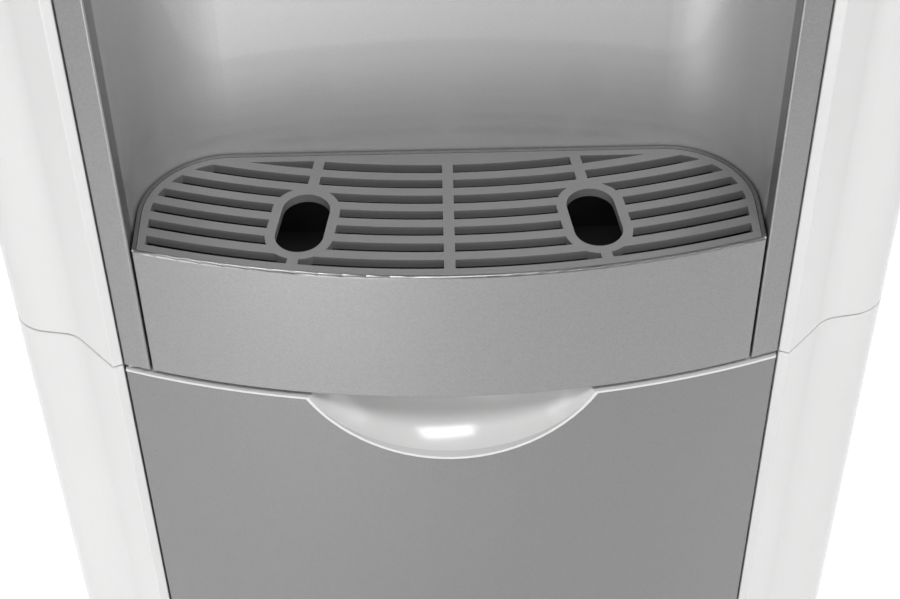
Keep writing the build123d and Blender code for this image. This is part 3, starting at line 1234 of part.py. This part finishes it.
HOT_RISER_Y = -math.sqrt((FOAM_R + SLEEVE_R + RISER_GAP) ** 2 - TAP_X**2)
with BuildPart() as hot_water_hose:
    hot_run = route(
        (HOT_OUT_X, HOT_Y, HOT_TOP_Z + JACKET_T + LINE_GAP),
        (HOT_OUT_X, HOT_Y, HOT_RUN_Z),
        (TAP_X, HOT_RISER_Y, HOT_RUN_Z),
        (TAP_X, HOT_RISER_Y, TAP_Z),
        (TAP_X, NUT_REAR_Y + LINE_GAP, TAP_Z),
        radius=LINE_BEND,
    )
    add(tube(hot_run, SLEEVE_R, SLEEVE_BORE))
keep(hot_water_hose, "hot_water_hose")

with BuildPart() as feed_hose:
    with BuildSketch(Plane.XY.offset(HOT_TOP_Z + JACKET_T + LINE_GAP)):
        with Locations((0, FEED_Y)):
            Circle(SLEEVE_R)
            Circle(SLEEVE_BORE, mode=Mode.SUBTRACT)
    extrude(amount=COLD_Z0 - FOAM_BOTTOM - BEAM_T - HOT_TOP_Z - JACKET_T - 2 * LINE_GAP)
keep(feed_hose, "feed_hose")

DRAIN_END_Y = SHEET_REAR_Y + 2 + DRAIN_L
with BuildPart() as drain_pipe:
    drain_run = route(
        (-HOT_R - JACKET_T - LINE_GAP, HOT_Y, DRAIN_Z),
        (-FITTING_X, HOT_Y, DRAIN_Z),
        (-FITTING_X, DRAIN_END_Y, DRAIN_Z),
        radius=2 * LINE_BEND,
    )
    add(tube(drain_run, SLEEVE_R, SLEEVE_BORE))
    with BuildSketch(rear_plane(-FITTING_X, SHEET_REAR_Y, DRAIN_Z)):
        Circle(DRAIN_FLANGE_R)
        Circle(SLEEVE_BORE, mode=Mode.SUBTRACT)
    extrude(amount=2)
    with BuildSketch(rear_plane(-FITTING_X, SHEET_REAR_Y, DRAIN_Z)):
        Circle(DRAIN_R)
        Circle(SLEEVE_BORE, mode=Mode.SUBTRACT)
    extrude(amount=2 + DRAIN_L)
keep(drain_pipe, "drain_pipe")

with BuildPart() as drain_cap:
    cap_y = SHEET_REAR_Y + 2 + LINE_GAP
    with BuildSketch(rear_plane(-FITTING_X, cap_y, DRAIN_Z)):
        Circle(DRAIN_CAP_R)
        with PolarLocations(DRAIN_CAP_R, 12):
            Circle(1.0, mode=Mode.SUBTRACT)
    extrude(amount=DRAIN_CAP_L)
    with BuildSketch(rear_plane(-FITTING_X, cap_y, DRAIN_Z)):
        Circle(DRAIN_R + DRAIN_CAP_FIT)
    extrude(amount=DRAIN_L - LINE_GAP, mode=Mode.SUBTRACT)
keep(drain_cap, "drain_cap")

# ================================================================ compressor and condenser
COMP_Z0 = FOOT_H + BASE_T + GROMMET_H
COMP_FEET = [(x, COMP_Y + y) for x in (-COMP_FOOT_X, COMP_FOOT_X) for y in (-COMP_FOOT_Y, COMP_FOOT_Y)]
with BuildPart() as compressor:
    with BuildSketch(Plane.XY.offset(COMP_Z0)):
        with Locations((0, COMP_Y)):
            RectangleRounded(COMP_L, COMP_W, COMP_CORNER_R)
    extrude(amount=COMP_H)
    fillet(compressor.edges().group_by(Axis.Z)[-1], COMP_TOP_R)
    with BuildSketch(Plane.XY.offset(COMP_Z0)):
        for y in (-COMP_FOOT_Y, COMP_FOOT_Y):
            with Locations((0, COMP_Y + y)):
                SlotOverall(2 * COMP_FOOT_X + COMP_FOOT_W, COMP_FOOT_W)
    extrude(amount=COMP_FOOT_T)
    with BuildSketch(rear_plane(PORT_X, COMP_Y, PORT_Z)):
        Circle(PORT_R)
    extrude(amount=COMP_W / 2 + PORT_L)
    with BuildSketch(Plane(origin=(0, COMP_Y, PORT_Z), x_dir=(0, 1, 0), z_dir=(-1, 0, 0))):
        Circle(PORT_R)
    extrude(amount=COMP_L / 2 + PORT_L)
keep(compressor, "compressor")

with BuildPart() as compressor_grommet:
    with BuildSketch(Plane.XY.offset(FOOT_H + BASE_T)):
        with Locations(*COMP_FEET):
            Circle(GROMMET_R)
    extrude(amount=GROMMET_H)
keep(compressor_grommet, "compressor_grommet")

COND_TOP_Z = COND_Z0 + (COND_RUNS - 1) * COND_PITCH
condenser_points = [
    (PORT_X, COMP_Y + COMP_W / 2 + PORT_L, PORT_Z),
    (PORT_X, COND_Y, PORT_Z),
    (PORT_X, COND_Y, COND_Z0),
]
for run in range(COND_RUNS - 1):
    run_x = COND_HALF if run % 2 == 0 else -COND_HALF
    condenser_points.append((run_x, COND_Y, COND_Z0 + run * COND_PITCH))
    condenser_points.append((run_x, COND_Y, COND_Z0 + (run + 1) * COND_PITCH))
condenser_points.append((DRIER_X, COND_Y, COND_TOP_Z))
condenser_points.append((DRIER_X, DRIER_Y, COND_TOP_Z))
condenser_points.append((DRIER_X, DRIER_Y, COND_TOP_Z - 2 * LINE_BEND))
condenser_radii = [LINE_BEND, LINE_BEND] + [COND_BEND] * (2 * COND_RUNS - 2) + [LINE_BEND, LINE_BEND]
with BuildPart() as condenser_tube:
    add(tube(route(*condenser_points, radius=condenser_radii), COND_TUBE_R, 0))
keep(condenser_tube, "condenser_tube")

with BuildPart() as condenser_wires:
    with BuildSketch(Plane.XY.offset(COND_Z0 - COND_WIRE_OVER)):
        with Locations((0, REAR_Y - COND_WIRE_R)):
            with GridLocations(2 * COND_WIRE_HALF / (COND_WIRES - 1), 1, COND_WIRES, 1):
                Circle(COND_WIRE_R)
    extrude(amount=COND_TOP_Z - COND_Z0 + 2 * COND_WIRE_OVER)
keep(condenser_wires, "condenser_wires")

with BuildPart() as condenser_standoff:
    for x in (-STANDOFF_X, STANDOFF_X):
        for run in (1, COND_RUNS - 2):
            z = COND_Z0 + run * COND_PITCH
            with BuildSketch(rear_plane(x, SHEET_REAR_Y, z)):
                Rectangle(2 * STANDOFF_W, STANDOFF_H)
            extrude(amount=STANDOFF_T)
            with BuildSketch(rear_plane(x, SHEET_REAR_Y, z)):
                Rectangle(STANDOFF_W, STANDOFF_H)
                Rectangle(STANDOFF_W - 2 * STANDOFF_T, STANDOFF_H, mode=Mode.SUBTRACT)
            extrude(amount=COND_Y - COND_TUBE_R - SHEET_REAR_Y)
            with BuildSketch(rear_plane(x, COND_Y - COND_TUBE_R - STANDOFF_T, z)):
                Rectangle(STANDOFF_W, STANDOFF_H)
            extrude(amount=STANDOFF_T)
keep(condenser_standoff, "condenser_standoff")

DRIER_TOP_Z = COND_TOP_Z - 2 * LINE_BEND
with BuildPart() as filter_drier:
    with BuildSketch(Plane.XY.offset(DRIER_TOP_Z - DRIER_L)):
        with Locations((DRIER_X, DRIER_Y)):
            Circle(DRIER_R)
    extrude(amount=DRIER_L)
    fillet(filter_drier.edges(), DRIER_R - COND_TUBE_R - 1)
keep(filter_drier, "filter_drier")

CAPILLARY_TURN_Z = DRIER_TOP_Z - DRIER_L - CAPILLARY_DROP
with BuildPart() as capillary_tube:
    capillary_run = route(
        (DRIER_X, DRIER_Y, DRIER_TOP_Z - DRIER_L),
        (DRIER_X, DRIER_Y, CAPILLARY_TURN_Z),
        (CAPILLARY_X, DRIER_Y, CAPILLARY_TURN_Z),
        (CAPILLARY_X, coil_in.Y, CAPILLARY_TURN_Z + CAPILLARY_RISE),
        (CAPILLARY_X, coil_in.Y, coil_in.Z),
        (coil_in.X + JOINT_GAP, coil_in.Y, coil_in.Z),
        radius=LINE_BEND / 2,
    )
    add(tube(capillary_run, CAPILLARY_R, 0))
keep(capillary_tube, "capillary_tube")

with BuildPart() as suction_line:
    suction_run = route(
        (coil_out.X - JOINT_GAP, coil_out.Y, coil_out.Z),
        (SUCTION_X, coil_out.Y, coil_out.Z),
        (SUCTION_X, SUCTION_Y, coil_out.Z),
        (SUCTION_X, SUCTION_Y, PORT_Z),
        (SUCTION_X, COMP_Y, PORT_Z),
        (-COMP_L / 2 - PORT_L, COMP_Y, PORT_Z),
        radius=LINE_BEND,
    )
    add(tube(suction_run, COIL_R, 0))
keep(suction_line, "suction_line")

# ================================================================ rear electrical fittings
with BuildPart() as power_inlet:
    with BuildSketch(rear_plane(FITTING_X, SHEET_REAR_Y - INLET_BODY_L, INLET_Z)):
        Rectangle(INLET_BODY_W, INLET_BODY_H)
    extrude(amount=INLET_BODY_L)
    with BuildSketch(rear_plane(FITTING_X, SHEET_REAR_Y, INLET_Z)):
        RectangleRounded(INLET_W, INLET_H, 3)
    extrude(amount=INLET_T)
    with BuildSketch(rear_plane(FITTING_X, SHEET_REAR_Y + INLET_T - INLET_CAVITY_L, INLET_Z)):
        Rectangle(INLET_CAVITY_W, INLET_CAVITY_H)
    extrude(amount=INLET_CAVITY_L, mode=Mode.SUBTRACT)
    fillet(power_inlet.edges().filter_by(Axis.Y).filter_by(lambda e: e.length == INLET_CAVITY_L), 1)
    with BuildSketch(rear_plane(FITTING_X, SHEET_REAR_Y + INLET_T - INLET_CAVITY_L, INLET_Z)):
        with Locations((0, -PIN_PITCH), (2, 0), (0, PIN_PITCH)):
            Rectangle(PIN_H, PIN_W)
    extrude(amount=INLET_CAVITY_L - 2)
keep(power_inlet, "power_inlet")

SWITCH_ZS = (SWITCH_Z, SWITCH_Z + SWITCH_PITCH)
SWITCH_FACE_Y = SHEET_REAR_Y + SWITCH_T
with BuildPart() as switch_housing:
    for z in SWITCH_ZS:
        with BuildSketch(rear_plane(FITTING_X, SHEET_REAR_Y - SWITCH_BODY_L, z)):
            Rectangle(SWITCH_BODY_W, SWITCH_BODY_H)
        extrude(amount=SWITCH_BODY_L)
        with BuildSketch(rear_plane(FITTING_X, SHEET_REAR_Y, z)):
            RectangleRounded(SWITCH_W, SWITCH_H, 1)
        extrude(amount=SWITCH_T)
        with BuildSketch(rear_plane(FITTING_X, SHEET_REAR_Y - SWITCH_BODY_L + SWITCH_WALL, z)):
            Rectangle(SWITCH_BODY_W - 2 * SWITCH_WALL, SWITCH_BODY_H - 2 * SWITCH_WALL)
        extrude(amount=SWITCH_BODY_L + SWITCH_T, mode=Mode.SUBTRACT)
keep(switch_housing, "switch_housing")

for rocker_name, z in zip(("hot_rocker", "cold_rocker"), SWITCH_ZS):
    with BuildPart() as rocker:
        with BuildSketch(Plane(origin=(FITTING_X, SHEET_REAR_Y, z), x_dir=(0, 1, 0), z_dir=(1, 0, 0))):
            with BuildLine():
                Polyline(
                    (-2.0, -ROCKER_HALF),
                    (3.0, -ROCKER_HALF),
                    (1.8, 0),
                    (3.0, ROCKER_HALF),
                    (-2.0, ROCKER_HALF),
                    close=True,
                )
            make_face()
            with Locations((-2.0, 0)):
                Circle(ROCKER_HUB_R)
        extrude(amount=SWITCH_BODY_W / 2 - SWITCH_WALL - ROCKER_GAP, both=True)
    with BuildPart() as tilted_rocker:
        add(rocker.part.rotate(Axis((FITTING_X, SHEET_REAR_Y, z), (1, 0, 0)), ROCKER_TILT))
    keep(tilted_rocker, rocker_name)
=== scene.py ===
"""Looks for the floor-standing water dispenser: materials, studio and camera."""

import json
import math

import bpy
from mathutils import Matrix, Vector

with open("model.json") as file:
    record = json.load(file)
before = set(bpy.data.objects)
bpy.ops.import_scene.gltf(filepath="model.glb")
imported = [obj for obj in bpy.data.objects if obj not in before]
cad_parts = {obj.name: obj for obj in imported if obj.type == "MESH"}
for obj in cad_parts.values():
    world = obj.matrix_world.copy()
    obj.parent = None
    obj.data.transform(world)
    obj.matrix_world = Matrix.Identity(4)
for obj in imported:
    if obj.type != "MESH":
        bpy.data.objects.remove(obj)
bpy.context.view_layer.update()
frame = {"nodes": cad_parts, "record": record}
NODES = frame["nodes"]

# depth of the surface relief, in metres
FLAKE_RELIEF = 0.0003
LINE_RELIEF = 0.0003
GRAIN_RELIEF = 0.0004
RIPPLE_RELIEF = 0.0005
BEAD_RELIEF = 0.001

# tones never go over this, so that white stays below paper white
TONE_LIMIT = 0.95


# ---------------------------------------------------------------- node helpers
def new_material(name):
    mat = bpy.data.materials.new(name)
    mat.use_nodes = True
    tree = mat.node_tree
    shader = tree.nodes["Principled BSDF"]
    return mat, tree, shader


def link(tree, a, b):
    tree.links.new(a, b)


def noise(tree, scale, detail=2.0, rough=0.5, *, vector):
    n = tree.nodes.new("ShaderNodeTexNoise")
    n.inputs["Scale"].default_value = scale
    n.inputs["Detail"].default_value = detail
    n.inputs["Roughness"].default_value = rough
    link(tree, vector, n.inputs["Vector"])
    return n


def voronoi(tree, scale, vector):
    cells = tree.nodes.new("ShaderNodeTexVoronoi")
    cells.inputs["Scale"].default_value = scale
    link(tree, vector, cells.inputs["Vector"])
    return cells


def to_grey(tree, colour):
    bw = tree.nodes.new("ShaderNodeRGBToBW")
    link(tree, colour, bw.inputs["Color"])
    return bw.outputs["Val"]


def colour_mix(tree, a, b, factor, blend="MIX"):
    mix = tree.nodes.new("ShaderNodeMix")
    mix.data_type = "RGBA"
    mix.blend_type = blend
    mix.inputs["Factor"].default_value = factor
    link(tree, a, mix.inputs["A"])
    link(tree, b, mix.inputs["B"])
    return mix.outputs["Result"]


def object_coords(tree, stretch=(1, 1, 1)):
    coord = tree.nodes.new("ShaderNodeTexCoord")
    if stretch == (1, 1, 1):
        return coord.outputs["Object"]
    mapping = tree.nodes.new("ShaderNodeMapping")
    mapping.inputs["Scale"].default_value = stretch
    link(tree, coord.outputs["Object"], mapping.inputs["Vector"])
    return mapping.outputs["Vector"]


def ramp(tree, factor, stops):
    r = tree.nodes.new("ShaderNodeValToRGB")
    elements = r.color_ramp.elements
    while len(elements) < len(stops):
        elements.new(0.5)
    for element, (position, colour) in zip(elements, stops):
        element.position = position
        element.color = (*colour, 1)
    link(tree, factor, r.inputs["Fac"])
    return r


def grey(v, warm=0.0):
    return (v + warm, v, v - warm)


def bump(tree, shader, height, strength, distance):
    b = tree.nodes.new("ShaderNodeBump")
    b.inputs["Strength"].default_value = strength
    b.inputs["Distance"].default_value = distance
    link(tree, height, b.inputs["Height"])
    link(tree, b.outputs["Normal"], shader.inputs["Normal"])


def rough_from(tree, shader, factor, low, high):
    m = tree.nodes.new("ShaderNodeMapRange")
    m.inputs["To Min"].default_value = low
    m.inputs["To Max"].default_value = high
    link(tree, factor, m.inputs["Value"])
    link(tree, m.outputs["Result"], shader.inputs["Roughness"])


# ---------------------------------------------------------------- materials
def gloss_white(name, tone, rough=0.16):
    """Moulded white ABS: faint tone drift and a little orange peel."""
    peel_scale, peel_strength, spread, warmth = 420.0, 0.05, 0.015, 0.002
    mat, tree, shader = new_material(name)
    vec = object_coords(tree)
    drift = noise(tree, 9.0, 3.0, vector=vec)
    low = grey(tone * (1 - spread), warmth)
    high = grey(min(tone * (1 + spread), TONE_LIMIT), warmth)
    colour = ramp(tree, drift.outputs["Fac"], [(0.3, low), (0.7, high)])
    link(tree, colour.outputs["Color"], shader.inputs["Base Color"])
    fine = noise(tree, peel_scale, vector=vec)
    rough_from(tree, shader, drift.outputs["Fac"], rough * 0.85, rough * 1.2)
    bump(tree, shader, fine.outputs["Fac"], peel_strength, GRAIN_RELIEF)
    shader.inputs["IOR"].default_value = 1.5
    return mat


def metallic_paint(name, tone, rough, metal, flake, grain, coat=0.15, coat_rough=0.2):
    """Silver metallic paint: fine flakes that differ in tone and tilt, under a thin clear coat."""
    noise_per_flake, relief_strength, full, worn = 0.55, 0.06, 1.0, 0.97
    mat, tree, shader = new_material(name)
    vec = object_coords(tree)
    cells = voronoi(tree, flake, vec)
    sparkle = noise(tree, flake * noise_per_flake, 3.0, 0.7, vector=vec)
    mixed = colour_mix(tree, cells.outputs["Color"], sparkle.outputs["Color"], 0.5)
    tonal = to_grey(tree, mixed)
    low, high = grey(tone * (1 - grain)), grey(min(tone * (1 + grain), TONE_LIMIT))
    colour = ramp(tree, tonal, [(0.28, low), (0.5, grey(tone)), (0.72, high)])
    slow = noise(tree, 5.0, vector=vec)
    drift = ramp(tree, slow.outputs["Fac"], [(0.3, grey(worn)), (0.7, grey(full))])
    product = colour_mix(tree, colour.outputs["Color"], drift.outputs["Color"], 1.0, "MULTIPLY")
    link(tree, product, shader.inputs["Base Color"])
    shader.inputs["Metallic"].default_value = metal
    rough_from(tree, shader, tonal, rough * 0.8, rough * 1.25)
    bump(tree, shader, tonal, relief_strength, FLAKE_RELIEF)
    shader.inputs["Coat Weight"].default_value = coat
    shader.inputs["Coat Roughness"].default_value = coat_rough
    return mat


def satin_plastic(name, colour, rough, texture, depth, metal=0.0, coat=0.0):
    """Moulded satin plastic with a spark-eroded texture and a faint flow pattern."""
    spread, coat_rough = 0.06, 0.15
    mat, tree, shader = new_material(name)
    vec = object_coords(tree)
    grain = noise(tree, texture, 3.0, 0.6, vector=vec)
    slow = noise(tree, 14.0, 3.0, vector=vec)
    lo = tuple(c * (1 - spread) for c in colour)
    hi = tuple(min(c * (1 + spread), 1.0) for c in colour)
    mixed = tree.nodes.new("ShaderNodeMix")
    mixed.inputs["Factor"].default_value = 0.5
    link(tree, grain.outputs["Fac"], mixed.inputs["A"])
    link(tree, slow.outputs["Fac"], mixed.inputs["B"])
    tones = ramp(tree, mixed.outputs["Result"], [(0.35, lo), (0.65, hi)])
    link(tree, tones.outputs["Color"], shader.inputs["Base Color"])
    rough_from(tree, shader, grain.outputs["Fac"], rough * 0.88, rough * 1.15)
    bump(tree, shader, grain.outputs["Fac"], depth, GRAIN_RELIEF)
    shader.inputs["Metallic"].default_value = metal
    shader.inputs["Coat Weight"].default_value = coat
    shader.inputs["Coat Roughness"].default_value = coat_rough
    return mat


def galvanised(name, tone):
    """Zinc-coated sheet: spangle cells of slightly different tone."""
    mat, tree, shader = new_material(name)
    vec = object_coords(tree)
    spangle = voronoi(tree, 70.0, vec)
    tonal = to_grey(tree, spangle.outputs["Color"])
    tones = ramp(tree, tonal, [(0.2, grey(tone * 0.86)), (0.8, grey(tone * 1.12))])
    link(tree, tones.outputs["Color"], shader.inputs["Base Color"])
    fine = noise(tree, 300.0, 4.0, vector=vec)
    rough_from(tree, shader, fine.outputs["Fac"], 0.32, 0.5)
    bump(tree, shader, fine.outputs["Fac"], 0.05, GRAIN_RELIEF)
    shader.inputs["Metallic"].default_value = 0.9
    return mat


def drawn_metal(name, colour, rough, along):
    """Drawn or spun metal with fine lines along one axis."""
    across_scale, along_scale = 900, 30
    mat, tree, shader = new_material(name)
    stretch = tuple(along_scale if axis == along else across_scale for axis in "XYZ")
    vec = object_coords(tree, stretch)
    lines = noise(tree, 1.0, 3.0, vector=vec)
    lo = tuple(c * 0.86 for c in colour)
    tones = ramp(tree, lines.outputs["Fac"], [(0.3, lo), (0.7, colour)])
    link(tree, tones.outputs["Color"], shader.inputs["Base Color"])
    rough_from(tree, shader, lines.outputs["Fac"], rough * 0.8, rough * 1.3)
    bump(tree, shader, lines.outputs["Fac"], 0.04, LINE_RELIEF)
    shader.inputs["Metallic"].default_value = 1.0
    return mat


def foam(name):
    """Expanded foam: packed beads, with painted shade darkening the gaps between them."""
    # the gap colour is painted shade: bead edges are darkened in colour, on top of the bump relief
    crown, shaded_gap = (0.82, 0.8, 0.72), (0.66, 0.63, 0.54)
    mat, tree, shader = new_material(name)
    beads = voronoi(tree, 320.0, object_coords(tree))
    tones = ramp(tree, beads.outputs["Distance"], [(0.0, crown), (0.8, shaded_gap)])
    link(tree, tones.outputs["Color"], shader.inputs["Base Color"])
    shader.inputs["Roughness"].default_value = 0.85
    bump(tree, shader, beads.outputs["Distance"], 0.5, BEAD_RELIEF)
    return mat


def clear_shelf(name):
    """Clear shelf with a green tint and a fine surface ripple."""
    deep_tint, pale_tint = (0.82, 0.93, 0.9), (0.88, 0.96, 0.94)
    mat, tree, shader = new_material(name)
    ripple = noise(tree, 40.0, vector=object_coords(tree))
    tones = ramp(tree, ripple.outputs["Fac"], [(0.3, deep_tint), (0.7, pale_tint)])
    link(tree, tones.outputs["Color"], shader.inputs["Base Color"])
    bump(tree, shader, ripple.outputs["Fac"], 0.03, RIPPLE_RELIEF)
    shader.inputs["Roughness"].default_value = 0.05
    shader.inputs["Transmission Weight"].default_value = 0.85
    shader.inputs["IOR"].default_value = 1.48
    return mat


# slot: name, tone, roughness, metallic, flakes per metre, grain, then clear coat and its roughness
METALLIC = {
    "silver_moulding": ("silver_moulding_paint", 0.28, 0.34, 0.85, 2600.0, 0.1),
    "silver_door": ("silver_door_paint", 0.235, 0.3, 0.88, 2600.0, 0.06),
    "niche_silver": ("niche_silver_paint", 0.47, 0.5, 0.5, 3000.0, 0.05, 0.7, 0.04),
}
# slot: name, colour, roughness, texture scale, texture strength, then metallic and clear coat
SATIN = {
    "grille_grey": ("grille_grey_plastic", (0.27, 0.27, 0.27), 0.4, 1100.0, 0.08, 0.35),
    "black_plastic": ("black_plastic", (0.012, 0.012, 0.013), 0.35, 700.0, 0.06),
    "grey_plastic": ("grey_liner_plastic", (0.4, 0.4, 0.41), 0.38, 600.0, 0.08),
    "black_rubber": ("black_rubber", (0.018, 0.018, 0.018), 0.7, 500.0, 0.2),
    "smoked_plate": ("smoked_plate", (0.02, 0.02, 0.023), 0.12, 300.0, 0.01, 0.0, 0.6),
    "lamp_lens": ("lamp_lens", (0.12, 0.5, 0.18), 0.16, 300.0, 0.02, 0.0, 0.5),
    "black_paint": ("black_enamel", (0.015, 0.015, 0.016), 0.3, 500.0, 0.1, 0.0, 0.3),
    "hose": ("silicone_hose", (0.72, 0.71, 0.68), 0.45, 400.0, 0.05),
    "red_gloss": ("red_gloss_plastic", (0.5, 0.018, 0.016), 0.22, 420.0, 0.03, 0.0, 0.4),
    "blue_gloss": ("blue_gloss_plastic", (0.02, 0.1, 0.42), 0.22, 420.0, 0.03, 0.0, 0.4),
    "green_gloss": ("green_gloss_plastic", (0.02, 0.28, 0.07), 0.22, 420.0, 0.03, 0.0, 0.4),
    "magnet": ("magnet_case", (0.05, 0.05, 0.05), 0.5, 500.0, 0.12),
}
# slot: name, colour, roughness, axis of the lines
DRAWN = {
    "stainless": ("stainless_tank", (0.6, 0.6, 0.61), 0.26, "X"),
    "copper": ("copper_line", (0.78, 0.42, 0.27), 0.3, "Z"),
    "zinc_screw": ("zinc_screw", (0.62, 0.62, 0.6), 0.3, "Y"),
}

MATERIALS = {
    "white_gloss": gloss_white("white_gloss_body", 0.67),
    "tap_white": gloss_white("tap_white_plastic", 0.78, 0.22),
    "zinc_sheet": galvanised("zinc_sheet", 0.5),
    "clear_shelf": clear_shelf("clear_shelf"),
    "foam": foam("insulation_foam"),
}
for maker, table in ((metallic_paint, METALLIC), (satin_plastic, SATIN), (drawn_metal, DRAWN)):
    MATERIALS.update({slot: maker(*values) for slot, values in table.items()})

SLOT_OF = {entry["node"]: entry["material_slot"] for entry in frame["record"]["subparts"]}


def dress(node, mat):
    data = NODES[node].data
    data.materials.clear()
    data.materials.append(mat)


for node_name, slot_name in SLOT_OF.items():
    dress(node_name, MATERIALS[slot_name])


# ---------------------------------------------------------------- studio
FLOOR_REACH = 6.0
WORLD_STRENGTH = 0.22
# name, place, aim, width and height, watts
LIGHTS = [
    ("key_left", (-1.6, -1.5, 1.5), (0, -0.1, 0.6), (1.2, 1.6), 0.3),
    ("tall_left", (-0.36, -1.15, 0.5), (-0.02, -0.12, 0.55), (0.4, 1.0), 5.4),
    ("fill_right", (1.8, -0.6, 1.15), (0, -0.15, 0.55), (0.8, 1.0), 7.6),
    ("scoop_left", (-1.5, -0.5, 1.0), (0, -0.16, 0.52), (0.3, 0.5), 1.6),
    ("top_soft", (0.0, 0.9, 2.6), (0, 0.4, 0.0), (2.4, 1.6), 76),
    ("over_camera", (0.1, -0.85, 1.95), (-0.03, -0.12, 0.6), (0.9, 0.35), 14),
]


def floor():
    r = FLOOR_REACH
    mesh = bpy.data.meshes.new("studio_floor")
    mesh.from_pydata([(-r, -r, 0), (r, -r, 0), (r, r, 0), (-r, r, 0)], [], [(0, 1, 2, 3)])
    obj = bpy.data.objects.new("studio_floor", mesh)
    bpy.context.collection.objects.link(obj)
    mat, tree, shader = new_material("pale_floor")
    wash = noise(tree, 3.0, vector=object_coords(tree))
    tones = ramp(tree, wash.outputs["Fac"], [(0.3, grey(0.9)), (0.7, grey(0.92))])
    link(tree, tones.outputs["Color"], shader.inputs["Base Color"])
    shader.inputs["Roughness"].default_value = 0.7
    obj.data.materials.append(mat)


def area_light(name, place, aim, size, power):
    data = bpy.data.lights.new(name, "AREA")
    data.shape = "RECTANGLE"
    data.size, data.size_y = size
    data.energy = power
    obj = bpy.data.objects.new(name, data)
    obj.location = place
    obj.rotation_euler = (Vector(aim) - Vector(place)).to_track_quat("-Z", "Y").to_euler()
    bpy.context.collection.objects.link(obj)


floor()
for light in LIGHTS:
    area_light(*light)

world = bpy.data.worlds.new("studio_world")
bpy.context.scene.world = world
world.use_nodes = True
background = world.node_tree.nodes["Background"]
background.inputs["Color"].default_value = (1, 1, 1, 1)
background.inputs["Strength"].default_value = WORLD_STRENGTH

# ---------------------------------------------------------------- camera
SENSOR_WIDTH = 36.0
LENS = 74.0
CLIP_START = 0.02
CAMERA_PLACE = (-0.00254, -0.62533, 1.03527)
YAW, PITCH, ROLL = math.radians(0.302), math.radians(44.645), math.radians(0.984)

camera_data = bpy.data.cameras.new("camera")
camera_data.sensor_width = SENSOR_WIDTH
camera_data.lens = LENS
camera_data.clip_start = CLIP_START
camera = bpy.data.objects.new("camera", camera_data)
bpy.context.collection.objects.link(camera)
level = math.cos(PITCH)
ahead = Vector((math.sin(YAW) * level, math.cos(YAW) * level, -math.sin(PITCH)))
right = Vector((math.cos(YAW), -math.sin(YAW), 0))
down = ahead.cross(right)
right_rolled = right * math.cos(ROLL) + down * math.sin(ROLL)
down_rolled = -right * math.sin(ROLL) + down * math.cos(ROLL)
turn = Matrix((right_rolled, -down_rolled, -ahead)).transposed()
camera.matrix_world = Matrix.Translation(CAMERA_PLACE) @ turn.to_4x4()
bpy.context.scene.camera = camera

bpy.context.scene.view_settings.view_transform = "Standard"
